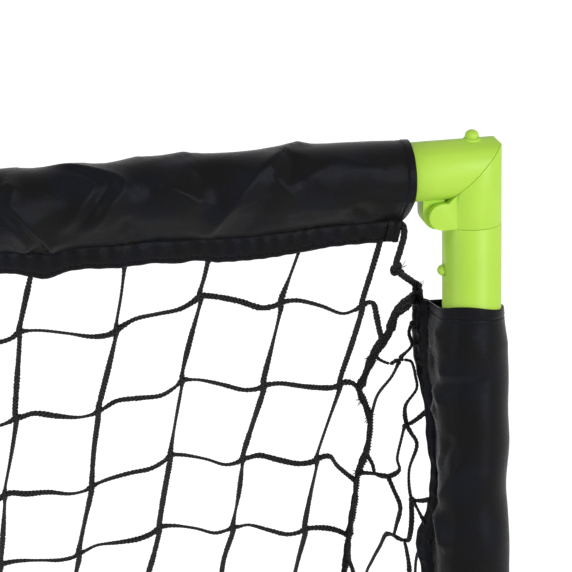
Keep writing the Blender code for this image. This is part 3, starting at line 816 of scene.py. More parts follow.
    def round_places(self) -> np.ndarray:
        """Distances round the cloth, closer together on the channel."""
        near = np.arange(0, self.flap + 4 * MM, 0.8 * MM)
        count = int((self.girth - 2 * near[-1]) / self.round_step)
        middle = np.linspace(near[-1], self.girth - near[-1], count + 1)[1:-1]
        return np.concatenate([near, middle, self.girth - near[::-1]])

    def build_cloth(self, finish: bpy.types.Material) -> None:
        """Builds the cloth, its ends turned in as hems.

        Args:
            finish: the cloth's finish.
        """
        rings, rounds = self.ring_places(), self.round_places()
        last = len(rings) - 1
        total = last + 2 * self.turned_rings

        def place(first: np.ndarray, second: np.ndarray) -> tuple[np.ndarray, np.ndarray]:
            """Lays the grid round the tube, and folds its ends inwards."""
            ring = np.rint(first * total).astype(int) - self.turned_rings
            inside = np.maximum(-ring, 0) + np.maximum(ring - last, 0)
            along = rings[np.clip(ring, 0, last)]
            inward = np.where(ring < 0, 1.0, -1.0) * np.maximum(inside - 1, 0) * self.turned_step
            around = rounds[np.rint(second * (len(rounds) - 1)).astype(int)]
            points = self.surface(along, around, -np.minimum(inside, 1) * self.thickness)
            points += np.array(self.along)[None, :] * inward[:, None]
            return points, np.stack([along - inward, around], axis=1)

        piece = new_piece(f"cloth_{self.name}", placed_grid(total, len(rounds) - 1, place), finish)
        dress(piece, "black_polyester", self.name, f"{self.tube}_tape{self.ending}")

    def stitch_row(self, bm: bmesh.types.BMesh, places: np.ndarray, heading: int) -> None:
        """Adds thread dashes that lie on the cloth.

        Args:
            bm: the mesh that they go into.
            places: (N, 2) distances along and around.
            heading: 0 for a row along the sleeve, 1 for one round it.
        """
        nudge = np.zeros_like(places)
        nudge[:, heading] = 0.4 * MM
        middle, after, before = (self.surface(*p.T, self.dash_proud) for p in (places, places + nudge, places - nudge))
        size = Matrix.Diagonal(self.dash)
        for point, way in zip(middle, after - before):
            turn = Vector(way).normalized().to_track_quat("X", "Z").to_matrix().to_4x4()
            bmesh.ops.create_icosphere(bm, subdivisions=1, radius=1, matrix=Matrix.Translation(point) @ turn @ size)

    def build_stitches(self, finish: bpy.types.Material) -> None:
        """Builds the rows of stitching along the channel and round both hems.

        Args:
            finish: the thread's finish.
        """
        bm = bmesh.new()
        down = np.arange(self.stitch_margin, self.length - self.stitch_margin, self.stitch_pitch)
        for inset in self.rows:
            for around in (inset, self.girth - inset):
                self.stitch_row(bm, np.column_stack([down, np.full_like(down, around)]), 0)
        first = self.flap + self.stitch_margin
        about = np.arange(first, self.girth - self.flap - self.stitch_margin, self.stitch_pitch)
        for end in (self.hem - self.hem_stitch, self.length - self.hem + self.hem_stitch):
            self.stitch_row(bm, np.column_stack([np.full_like(about, end), about]), 1)
        dress(new_piece(f"cloth_{self.name}_stitches", bm, finish), "black_polyester")

    def build(self, finishes: Finishes) -> None:
        """Builds the cloth and its stitches.

        Args:
            finishes: the goal's finishes.
        """
        self.build_cloth(finishes.cloth)
        self.build_stitches(finishes.thread)
        LOG.info("%s: %.0f x %.0f mm of cloth", self.name, self.girth / MM, self.length / MM)


# ---------------------------------------------------------------- net


@dataclass
class NetShape:
    """The hanging shape of the back net, as the CAD node has it."""

    measures: Measures
    mesh: float = 48.5 * MM
    first_row: float = 36 * MM
    sag: float = 62.7 * MM
    bow: float = 38 * MM
    inset: float = 44.5 * MM
    edge_strip: float = 22 * MM
    rope_out: float = 4.0 * MM
    bar_reach: float = 43.9 * MM
    rear_reach: float = 34.9 * MM
    gather: float = 0.035
    edge_pull: float = 4.2 * MM
    rope_sway: Pairs = (
        (78, -3), (81, -6.2), (86, -9.6), (98, -10.3), (109, -14.9), (127, -17.2), (133, -17.7), (144, -11.3),
        (153, -6.8), (161, -4.8), (175, -3.3), (192, -4.6), (211, -2.3), (237, -0.3), (267, 2.5), (300, 1), (400, 0),
    )

    def __post_init__(self) -> None:
        """Finds the net's top and foot, and where its rows lie."""
        m = self.measures
        self.top = np.array([0, m.front, m.bar_height]) + BAR_WAY * self.bar_reach
        self.foot = np.array([0, m.rear, m.base_height]) + REAR_WAY * self.rear_reach
        fine = np.linspace(0, 1, 401)
        reach = reach_along(self.line(fine))
        count = round((reach[-1] - self.first_row) / self.mesh)
        wanted = np.concatenate([[0], np.linspace(self.first_row, reach[-1], count + 1)])
        self.rows = np.interp(wanted, reach, fine)
        self.whole = round(2 * self.half_width(0.0) / self.mesh)

    def line(self, v: np.ndarray) -> np.ndarray:
        """Points of the slack curve in the plane x = 0, for shares v from the bar down.

        Args:
            v: the shares.

        Returns:
            The points, (N, 3).
        """
        chord = self.foot - self.top
        below = np.cross(chord / np.linalg.norm(chord), [1, 0, 0])
        v = np.atleast_1d(v)[:, None]
        return self.top + chord * v + below * 4 * self.sag * v * (1 - v)

    def half_width(self, v: float) -> float:
        """From the middle to the outermost whole column."""
        return self.measures.half - self.inset - 4 * self.bow * v * (1 - v)

    def point(self, column: float, v: float) -> np.ndarray:
        """A point of the net, by its column from the middle and its share down.

        Args:
            column: the column.
            v: the share down.

        Returns:
            The point.
        """
        place = self.line(v)[0]
        share = column / (self.whole / 2)
        gathered = share * (1 + self.gather) - self.gather * share**3
        place[0] = gathered * self.half_width(v) - self.edge_pull * share**3
        return place

    def rope(self, v: float, side: Side) -> np.ndarray:
        """A point of the edge rope.

        Args:
            v: the share down.
            side: the goal's side.

        Returns:
            The point.
        """
        place = self.line(v)[0]
        drops, shifts = np.array(self.rope_sway).T * MM
        sway = float(np.interp(self.measures.bar_height - place[2], drops, shifts))
        place[0] = side.value * (self.half_width(v) + self.edge_strip + self.rope_out + sway)
        return place

    def level(self, height: float) -> float:
        """The share down the net at which a height is reached."""
        fine = np.linspace(0, 1, 400)
        return float(np.interp(-height, -self.line(fine)[:, 2], fine))


@dataclass
class StrandLook:
    """How the flat braid runs between knots."""

    wide: float = 1.65 * MM
    thick: float = 0.85 * MM
    step: float = 1.1 * MM
    sides: int = 8
    knot_reach: float = 3.5 * MM

    def spans(self, knots: Points, bends: list[Bends], seed: int, facing: np.ndarray) -> bmesh.types.BMesh:
        """A strand through its knots.

        Args:
            knots: the knots' points in order.
            bends: for each span between knots, points by their share of the way and their offset.
            seed: sets its twist.
            facing: the net's own normal.

        Returns:
            The mesh.
        """
        way = [knots[0]]
        for start, end, bend in zip(knots, knots[1:], bends):
            way += [start + (end - start) * share + offset for share, offset in bend]
            way.append(end)
        return self.routed(way, knots, seed, facing)

    def routed(self, way: Points, knots: Points, seed: int, facing: np.ndarray) -> bmesh.types.BMesh:
        """A strand along a way, swollen at its knots.

        Args:
            way: the points that it passes.
            knots: the knots' points.
            seed: sets its twist.
            facing: the net's own normal.

        Returns:
            The mesh.
        """
        rng = np.random.default_rng(seed)
        path = spread(np.array(way), self.step)
        count = len(path)
        reach = np.arange(count) * self.step
        twist = np.zeros(count)
        for _ in range(3):
            twist = twist + rng.uniform(0.4, 1.0) * np.sin(reach / rng.uniform(0.012, 0.05) + rng.uniform(0, 6))
        swell = sum(bell(np.linalg.norm(path - knot, axis=1), self.knot_reach) for knot in knots)
        beat = 1 + 0.09 * np.cos(math.pi * np.arange(count))
        wide = self.wide * beat * (1 + 0.05 * rng.standard_normal(count)) * (1 + 0.04 * swell)
        thick = self.thick * (1 + 0.8 * swell) * beat
        return swept(path, wide, thick, self.sides, facing, twist * (1 - 0.8 * np.clip(swell, 0, 1)))


@dataclass
class BackNet:
    """The braided net behind the mouth, sewn to the crossbar's and the rear bar's flaps."""

    shape: NetShape
    look: StrandLook = field(default_factory=StrandLook)
    drift: float = 1.3 * MM
    slump: float = 17 * MM
    hitches: tuple = (0.0, 6.5, 14.0)
    end_falls: tuple = (24, 5, 18, 9)
    seed: int = 11

    def __post_init__(self) -> None:
        """Scatters the knots a little from their even places, and lets the middle rows slump."""
        rng = self.rng = np.random.default_rng(self.seed)
        rows = self.shape.rows
        half = self.shape.whole / 2
        self.columns = np.arange(-half, half + 0.5)
        last = len(self.columns) - 1
        self.knots: dict[tuple[int, int], np.ndarray] = {}
        for r, v in enumerate(rows):
            inner = 0 < r < len(rows) - 1
            slump = self.slump * math.sin(math.pi * r / (len(rows) - 1)) ** 2
            for c, column in enumerate(self.columns):
                shift = np.clip(rng.normal(0, 1, 3), -1.8, 1.8) * self.drift * (1 if inner else 0.3)
                from_edge = min(c, last - c)
                hitch = self.hitches[from_edge] * MM if inner and from_edge < len(self.hitches) else 0.0
                self.knots[r, c] = self.shape.point(column, v) + shift + self.down(v) * (slump - hitch)
        for c in range(last + 1):
            self.knots[0, c] = self.knots[0, c] + np.array([rng.normal(0, 1.5 * MM), 1.2 * MM, 3.5 * MM])

    def normal(self, v: float) -> np.ndarray:
        """The net's normal at a share down its curve."""
        return np.cross([1, 0, 0], self.down(v))

    def down(self, v: float) -> np.ndarray:
        """The direction down the net."""
        step = self.shape.line(v + 0.01)[0] - self.shape.line(v - 0.01)[0]
        return step / np.linalg.norm(step)

    def level_bends(self, v: float) -> Bends:
        """The lazy S of a strand that runs across, between two knots.

        Args:
            v: the share down.

        Returns:
            The bends.
        """
        rng, down, out = self.rng, self.down(v), self.normal(v)
        rise = -rng.uniform(0.8, 2.0) * MM
        dip = rng.uniform(2.6, 4.6) * MM
        return [
            (0.08, down * rise * 0.7),
            (0.24, down * rise + out * rng.normal(0, 0.8) * MM),
            (0.50, down * (rise + dip) * 0.45),
            (0.74, down * dip + out * rng.normal(0, 0.8) * MM),
            (0.91, down * dip * 0.7),
        ]

    def upright_bends(self) -> Bends:
        """The slight S of a strand that runs down.

        Returns:
            The bends.
        """
        lean = self.rng.uniform(0.1, 0.9) * MM
        side = np.array([1.0, 0, 0])
        return [(0.10, side * lean), (0.5, side * self.rng.normal(0, 0.5) * MM), (0.90, -side * lean)]

    def part_mesh(self, r: int, side: Side) -> tuple[np.ndarray, Bends]:
        """The end of a level strand: over a hump, and down to the edge rope.

        Args:
            r: the row.
            side: the goal's side.

        Returns:
            The point on the rope, and the bends between the last knot and it.
        """
        knot = self.knots[r, len(self.columns) - 1 if side is Side.RIGHT else 0]
        fall = self.end_falls[(r - 1) % 4] * MM
        end = self.shape.rope(self.shape.level(knot[2] - fall), side)
        steep = ((0.04, 2.6, -2.8), (0.14, 4.6, -4.0), (0.30, 4.4, -0.5), (0.6, 2.2, 0), (0.9, 0.2, 0))
        level = ((0.12, 0, -1.5), (0.35, 0, -3.2), (0.62, 0, -3.6), (0.85, 0, -2.0))
        down, out = self.down(self.shape.rows[r]), np.array([side.value, 0, 0.0])
        return end, [(share, out * x * MM + down * y * MM) for share, x, y in (steep if fall > 12 * MM else level)]

    def build(self, finishes: Finishes) -> None:
        """Builds every strand: those that run down in one piece, those across in another.

        Args:
            finishes: the goal's finishes.
        """
        rows = self.shape.rows
        last = len(self.columns) - 1
        uprights = bmesh.new()
        for c in range(last + 1):
            knots = [self.knots[r, c] for r in range(len(rows))]
            bends = [self.upright_bends() for _ in knots[1:]]
            merge_into(uprights, self.look.spans(knots, bends, 100 + c, self.normal(0.3)))
        dress(new_piece("braided_net_uprights", uprights, finishes.cord), "black_cord", "back_net")
        levels = bmesh.new()
        for r in range(1, len(rows)):
            v = min(rows[r], 0.98)
            knots = [self.knots[r, c] for c in range(last + 1)]
            bends = [self.level_bends(v) for _ in range(last)]
            if r < len(rows) - 1:
                left, left_bends = self.part_mesh(r, Side.LEFT)
                right, right_bends = self.part_mesh(r, Side.RIGHT)
                knots = [left, *knots, right]
                bends = [[(1 - share, offset) for share, offset in reversed(left_bends)], *bends, right_bends]
            merge_into(levels, self.look.spans(knots, bends, 300 + r, self.normal(v)))
        dress(new_piece("braided_net_levels", levels, finishes.cord), "black_cord")


@dataclass
class SideNet:
    """The three-cornered net between a post, a base tube and the edge rope.

    Near the top there is more net than room, so it hangs in slack loops. Their points are
    (share of the way from the post's flap to the rope, drop below the crossbar in millimetres).
    """

    shape: NetShape
    side: Side
    post_reach: float = 34.9 * MM
    scatter: tuple = (2.6, 2.2, 3.0)
    look: StrandLook = field(default_factory=lambda: StrandLook(wide=1.5 * MM))
    seed: int = 31
    first_row: int = 5
    loops: tuple[Pairs, ...] = (
        ((0.22, 92), (0.26, 99), (0.25, 107), (0.33, 113), (0.4, 115)),
        ((1.0, 110), (0.85, 114), (0.61, 117), (0.4, 115), (0.25, 116), (0.1, 119), (0.06, 125), (0.09, 133),
         (0.21, 143), (0.29, 154), (0.11, 152), (-0.16, 145)),
        ((0.4, 115), (0.55, 125), (0.69, 136), (0.9, 148), (1.0, 154)),
        ((0.29, 154), (0.41, 165), (0.37, 176), (0.39, 184), (0.53, 189), (0.7, 189), (0.87, 184), (1.0, 177)),
        ((0.53, 189), (0.73, 189), (0.92, 190), (1.0, 191)),
        ((0.53, 189), (0.38, 196), (0.32, 207), (0.37, 220), (0.33, 226), (0.23, 227), (0.13, 222), (0.12, 212),
         (0.14, 198)),
        ((0.29, 154), (0.13, 159), (0.11, 167), (0.16, 182), (0.14, 198), (0.05, 200), (-0.16, 197)),
        ((0.14, 198), (0.05, 204), (-0.1, 214)),
    )
    tails: tuple[Pairs, ...] = (
        ((-0.14, 221), (0.03, 231), (0.07, 244), (0.05, 262)),
        ((0.23, 227), (0.19, 233), (0.15, 246), (0.19, 270)),
        ((0.23, 227), (0.36, 226), (0.49, 227), (0.56, 236), (0.65, 248), (0.72, 262), (0.66, 282)),
        ((0.98, 247), (0.95, 256), (0.88, 265), (0.84, 285)),
    )

    def __post_init__(self) -> None:
        """Counts the whole side's rows and columns, and scatters the knots of its lower, hardly slack part."""
        m = self.shape.measures
        self.inward = np.array([-self.side.value, 0, 0.0])
        self.rng = rng = np.random.default_rng(self.seed)
        top, low = m.bar_height - SLEEVE_INSET * MM, m.base_height + self.post_reach
        last = round((m.bar_height - SLEEVE_INSET * MM - m.base_height - self.post_reach) / self.shape.mesh)
        self.rows = range(self.first_row, last + 1)
        depth = m.rear - m.front - math.cos(POST_LEAN) * self.post_reach
        self.columns = round(depth / self.shape.mesh)
        self.knots: dict[tuple[int, int], np.ndarray] = {}
        for r in self.rows:
            down = r / last
            for c in range(self.columns + 1):
                across = c / self.columns / down
                if across < 0.93:
                    shift = np.clip(rng.normal(0, 1, 3), -2, 2) * np.array(self.scatter) * MM
                    place = self.at(across, top + (low - top) * down)
                    self.knots[r, c] = place + shift * (1 if c and r < last else 0.2)

    def at(self, across: float, height: float) -> np.ndarray:
        """A point of the side net: from the post (0) to the rope (1), at a height.

        Args:
            across: the share of the way.
            height: the height.

        Returns:
            The point.
        """
        front = self.shape.measures.behind_post(self.side, self.post_reach, height)
        rope = self.shape.rope(self.shape.level(height), self.side)
        rope[2] = height
        return front + (rope - front) * across

    def hung(self, places: Pairs) -> Points:
        """The points of a loop or of a tail."""
        return [self.at(across, self.shape.measures.bar_height - drop * MM) for across, drop in places]

    def add_loops(self, whole: bmesh.types.BMesh) -> None:
        """Adds the slack loops near the top.

        Args:
            whole: the mesh that they go into.
        """
        for k, loop in enumerate(self.loops):
            way = self.hung(loop)
            for n in range(1, len(way) - 1):
                way[n] = way[n] + self.inward * 1.6 * MM * math.sin(2.4 * n + k)
            merge_into(whole, self.look.routed(way, [way[0], way[-1]], self.seed + 90 + k, self.inward))

    def add_rows(self, whole: bmesh.types.BMesh) -> None:
        """Adds the strands that run from the post back to the rope, hanging between their knots.

        Args:
            whole: the mesh that they go into.
        """
        rng, mesh = self.rng, self.shape.mesh
        for r in self.rows:
            row = [self.knots[r, c] for c in range(self.columns + 1) if (r, c) in self.knots]
            row.append(self.at(1.0, row[-1][2] + rng.normal(0, 3) * MM))
            row[0] = row[0] + np.array([self.side.value * 1.0 * MM, -4.0 * MM, 0])
            bends = []
            for start, end in zip(row, row[1:]):
                spare = max(mesh - float(np.linalg.norm(end - start)), 4 * MM)
                drop = min(0.55 * math.sqrt(spare * mesh), 14 * MM)
                bend = np.array([0, 0, -drop]) + self.inward * rng.uniform(0.1, 0.7) * drop
                lift = np.array([0, 0, 0.25 * drop])
                bends.append([(0.12, lift), (0.35, bend * 0.55), (0.65, bend), (0.9, bend * 0.4)])
            merge_into(whole, self.look.spans(row, bends, self.seed + r, self.inward))

    def add_columns(self, whole: bmesh.types.BMesh) -> None:
        """Adds the strands that run down, led in from a loop or from the rope.

        Args:
            whole: the mesh that they go into.
        """
        rng = self.rng
        for c in range(self.columns):
            column = [self.knots[r, c] for r in self.rows if (r, c) in self.knots]
            if not column:
                continue
            top = self.at(1.0, column[0][2] + 0.9 * self.shape.mesh)
            way = [top, (top + column[0]) / 2 + self.inward * 3 * MM]
            if c < len(self.tails):
                way = self.hung(self.tails[c])
            way.append(column[0])
            for start, end in zip(column, column[1:]):
                sway = rng.normal(0, 2.0) * MM * self.inward + np.array([0, rng.normal(0, 2.0) * MM, 0])
                way += [start * 0.8 + end * 0.2 + sway * 0.5, (start + end) / 2 + sway]
                way += [start * 0.2 + end * 0.8 - sway * 0.3, end]
            merge_into(whole, self.look.routed(way, column, self.seed + 50 + c, self.inward))

    def build(self, finishes: Finishes) -> None:
        """Builds its strands as one piece.

        Args:
            finishes: the goal's finishes.
        """
        whole = bmesh.new()
        self.add_loops(whole)
        self.add_rows(whole)
        self.add_columns(whole)
        node = f"side_net_{self.side.letter}"
        dress(new_piece(f"braided_{node}", whole, finishes.cord), "black_cord", node)


@dataclass
class EdgeRope:
    """The overlocked seam that joins the back net to a side net: a rough rope with frayed ends."""

    shape: NetShape
    side: Side
    radius: float = 1.75 * MM
    head_radius: float = 2.5 * MM
    head_length: float = 55 * MM
    step: float = 1.5 * MM
    stop: float = 0.975
    head_reach: float = 38.5 * MM
    head_drop: float = POST_START * MM
    lumps: int = 11
    lump_length: float = 2.2 * MM
    thread_radius: float = 0.34 * MM
    thread_pitch: float = 6.5 * MM
    hairs: int = 70
    frays: tuple = (112, 139, 152, 190)
    fray_hairs: int = 9
    seed: int = 51

    def path(self) -> np.ndarray:
        """The rope's centre line, from the post sleeve's top to the rear corner.

        Returns:
            The points of the line, (N, 3).
        """
        m = self.shape.measures
        seen = [drop for drop, _ in self.shape.rope_sway if drop * MM > self.head_drop + 1 * MM]
        levels = [self.shape.level(m.bar_height - drop * MM) for drop in seen]
        shares = np.concatenate([levels, np.linspace(levels[-1], self.stop, 9)[1:]])
        points = [self.shape.rope(v, self.side) for v in shares]
        rng = np.random.default_rng(self.seed)
        for point in points[len(seen) : -2]:
            point[0] += self.side.value * rng.normal(0, 2.0) * MM
        head = m.behind_post(self.side, self.head_reach, m.bar_height - self.head_drop)
        return spread(np.array([head, *points]), self.step)

    def add_thread(self, whole: bmesh.types.BMesh, path: np.ndarray, girth: np.ndarray, inward: np.ndarray) -> None:
        """Winds the overlock thread's three strands round the rope.

        Args:
            whole: the mesh that they go into.
            path: the rope's centre line.
            girth: its radius at each point.
            inward: the direction that its flat side faces.
        """
        steps = np.arange(len(path))
        fine = np.linspace(3, len(path) - 4, len(path) * 2)
        ahead = np.gradient(path, axis=0)
        across = unit(np.cross(ahead, inward))
        axes = (path, across, unit(np.cross(across, ahead)))
        base, side, up = (np.stack([np.interp(fine, steps, v[:, k]) for k in range(3)], 1) for v in axes)
        away = 1.10 * np.interp(fine, steps, girth)
        for phase in (0.0, 2.1, 4.2):
            turn = 2 * math.pi * fine * self.step / self.thread_pitch + phase
            wound = base + side * (away * np.cos(turn))[:, None] + up * (away * 0.88 * np.sin(turn))[:, None]
            merge_into(whole, swept(wound, self.thread_radius, self.thread_radius, 5, inward))

    def add_hairs(self, whole: bmesh.types.BMesh, path: np.ndarray, rng: np.random.Generator) -> None:
        """Adds loose hairs all along, and a fray of thicker ones at each cut end.

        Args:
            whole: the mesh that they go into.
            path: the rope's centre line.
            rng: scatters them.
        """

        def add(start: np.ndarray, way: np.ndarray, reach: tuple, curl: float, thick: float) -> None:
            """Adds one hair."""
            way = way * (rng.uniform(*reach) * MM / np.linalg.norm(way))
            points = [start, start + way * 0.6, start + way + rng.normal(0, curl, 3) * MM]
            merge_into(whole, hair(points, 0.8 * MM, thick, (0.3, -1, 0.2)))

        for _ in range(self.hairs):
            start = path[int(rng.uniform(4, len(path) - 5))]
            add(start, rng.normal(0, 1, 3), (2.0, 4.5), 0.8, 0.12 * MM)
        for drop in self.frays:
            k = int(np.abs(self.shape.measures.bar_height - path[:, 2] - drop * MM).argmin())
            for _ in range(self.fray_hairs):
                way = [self.side.value * rng.uniform(-1, 0.3), rng.uniform(-0.8, 0.2), rng.uniform(-0.6, 0.4)]
                add(path[k], np.array(way), (3.0, 5.5), 0.6, 0.26 * MM)

    def build(self, finishes: Finishes) -> None:
        """Builds the core, the overlock thread wound round it, and the frays.

        Args:
            finishes: the goal's finishes.
        """
        rng = np.random.default_rng(self.seed + 1)
        path = self.path()
        count = len(path)
        reach = np.arange(count) * self.step
        thick = self.radius + (self.head_radius - self.radius) * np.exp(-((reach / self.head_length) ** 4))
        rough = 1 + 0.10 * np.sin(reach / 0.0062) + 0.10 * np.sin(reach / 0.0021 + 1)
        rough += 0.07 * rng.standard_normal(count)
        for k in np.linspace(8, count - 9, self.lumps).astype(int):
            rough += 0.35 * bell(reach - reach[k], self.lump_length)
        girth = thick * rough
        inward = np.array([-self.side.value, -0.4, 0.2])
        whole = swept(path, girth * 1.12, girth * 0.85, 10, inward, 0.6 * np.sin(reach / 0.03))
        self.add_thread(whole, path, girth, inward)
        self.add_hairs(whole, path, rng)
        ending = self.side.letter
        dress(new_piece(f"overlocked_rope_{ending}", whole, finishes.cord), "black_cord", f"edge_rope_{ending}")
        LOG.info("edge rope: %.0f mm", reach[-1] / MM)


@dataclass
class CornerTie:
    """The drawn cord from the crossbar's flap to the post sleeve's top, with its two knots."""

    side: Side
    measures: Measures
    radius: float = 1.4 * MM
    wide: float = 1.95 * MM
    bar_inset: float = 36.8 * MM
    bar_reach: float = 35.3 * MM
    post_reach: float = 34.0 * MM
    post_drop: float = 82 * MM
    upper_knot: float = 3.3 * MM
    lower_knot: float = 3.4 * MM
    hair_radius: float = 0.16 * MM
    seed: int = 71
    lead: tuple = (
        (-5.5, 0.2, 4.6), (-1.5, -0.4, 4.8), (1.2, -0.4, 1.4), (1.3, 1.2, -5.0), (0.2, 4, -12), (-0.4, 9, -24.5),
    )

    def route(self) -> np.ndarray:
        """The tie's line: out of the flap, down, and across to the post sleeve.

        Returns:
            The points that it passes, (N, 3).
        """
        s = self.side.value
        top = np.array(self.measures.top(self.side))
        start = top + np.array([-s * self.bar_inset, 0, 0]) + BAR_WAY * self.bar_reach
        end = top + post_way(self.side) * self.post_reach + np.array([0, 0, -self.post_drop])
        lead = [start + np.array([s * x, y, z]) * MM for x, y, z in self.lead]
        return np.array([*lead, end + np.array([-s * 1.6, 0.6, 9]) * MM, end])

    def knot(self, centre: np.ndarray, size: float, turn: float) -> bmesh.types.BMesh:
        """An overhand knot drawn tight.

        Args:
            centre: its middle.
            size: its half width.
            turn: how far it is turned about the vertical, in radians.

        Returns:
            The mesh.
        """
        t = np.linspace(0, 2 * math.pi, 60)
        loop = np.stack([np.sin(t) + 2 * np.sin(2 * t), np.cos(t) - 2 * np.cos(2 * t), -np.sin(3 * t) * 1.4], 1)
        loop *= size / 3
        c, s = math.cos(turn), math.sin(turn)
        spin = np.array([[c, -s, 0], [s, c, 0], [0, 0, 1]])
        tilt = np.array([[1, 0, 0], [0, 0.35, -0.94], [0, 0.94, 0.35]])
        path = spread(centre + loop @ tilt @ spin, 0.9 * MM)
        return swept(path, self.radius * 0.9, self.radius * 0.8, 8, np.array([0.2, -1, 0.1]))

    def build_knots(self, name: str, route: np.ndarray, finish: bpy.types.Material) -> bpy.types.Object:
        """Builds the two knots with their frayed ends.

        Args:
            name: the piece's name.
            route: the tie's line.
            finish: their finish.

        Returns:
            The piece.
        """
        upper, lower = route[-3], route[-2]
        knots = self.knot(upper, self.upper_knot, 0.4)
        merge_into(knots, self.knot(lower + np.array([0, 0, -1]) * MM, self.lower_knot, 1.9))
        rng = np.random.default_rng(self.seed)
        for start in [upper] * 6 + [lower] * 10:
            way = np.array([self.side.value * rng.uniform(0.4, 1.0), rng.uniform(-0.6, 0.3), rng.uniform(0.0, 0.9)])
            tip = start + way * rng.uniform(3.0, 6.0) * MM
            middle = (start + tip) / 2 + rng.normal(0, 0.5, 3) * MM
            merge_into(knots, hair([start, middle, tip], 0.9 * MM, self.hair_radius, (0, -1, 0)))
        return dress(new_piece(name, knots, finish), "black_cord")

    def build(self, finishes: Finishes) -> None:
        """Builds the cord and its knots.

        Args:
            finishes: the goal's finishes.
        """
        route = self.route()
        path = spread(route, 1.2 * MM)
        beat = 1 + 0.08 * np.sin(np.arange(len(path)) * 2.2)
        rope = swept(path, self.wide * beat, self.radius * beat, 10, np.array([0.1, -1, 0.2]))
        name = f"corner_tie_cord_{self.side.letter}"
        piece = new_piece(name, rope, finishes.cord)
        dress(piece, "black_cord", f"corner_tie_{self.side.letter}")
        tied = self.build_knots(name + "_knots", route, finishes.cord)


# ---------------------------------------------------------------- rigid pieces


@dataclass
class PlasticFrame:
    """The lime tubes, corners, tongues and buttons: their CAD shape with its edges broken."""

    edge_break: float = 0.22 * MM
    tube_break: float = 0.05 * MM
    sharp: float = math.radians(35)
    flat: float = math.radians(0.6)
    seam: float = 0.01 * MM
    soft: tuple = ("sleeve", "tape", "net", "rope", "tie")

    def moulded(self, name: str, finish: bpy.types.Material) -> bpy.types.Object:
        """A smooth copy of a rigid node, its sharp edges rounded.

        Args:
            name: the node's name.
            finish: the copy's finish.

        Returns:
            The copy.
        """
        bm = bmesh.new()
        bm.from_mesh(frame["nodes"][name].data)
        bmesh.ops.remove_doubles(bm, verts=bm.verts, dist=self.seam)
        bmesh.ops.dissolve_limit(bm, angle_limit=self.flat, verts=bm.verts, edges=bm.edges)
        bmesh.ops.bevel(
            bm,
            geom=[e for e in bm.edges if len(e.link_faces) == 2 and e.calc_face_angle(0) > self.sharp],
            offset=self.tube_break if "tube" in name else self.edge_break,
            offset_type="OFFSET",
            affect="EDGES",
            segments=2,
            profile=0.5,
            material=-1,
            clamp_overlap=True,
        )
        piece = new_piece(f"moulded_{name}", bm, finish)
        piece.data.set_sharp_from_angle(angle=self.sharp)
        return piece

    def build(self, finishes: Finishes) -> None:
        """Builds the moulded copy of each rigid node, which rides its node's body.

        Args:
            finishes: the goal's finishes.
        """
        for name in frame["nodes"]:
            if any(word in name for word in self.soft):
                continue
            finish, slot = (finishes.steel, "pin_steel") if "pin" in name else (finishes.lime, "lime_plastic")
            dress(self.moulded(name, finish), slot, name, body=name if name in frame["bodies"] else FRAME_BODY)


# ---------------------------------------------------------------- studio


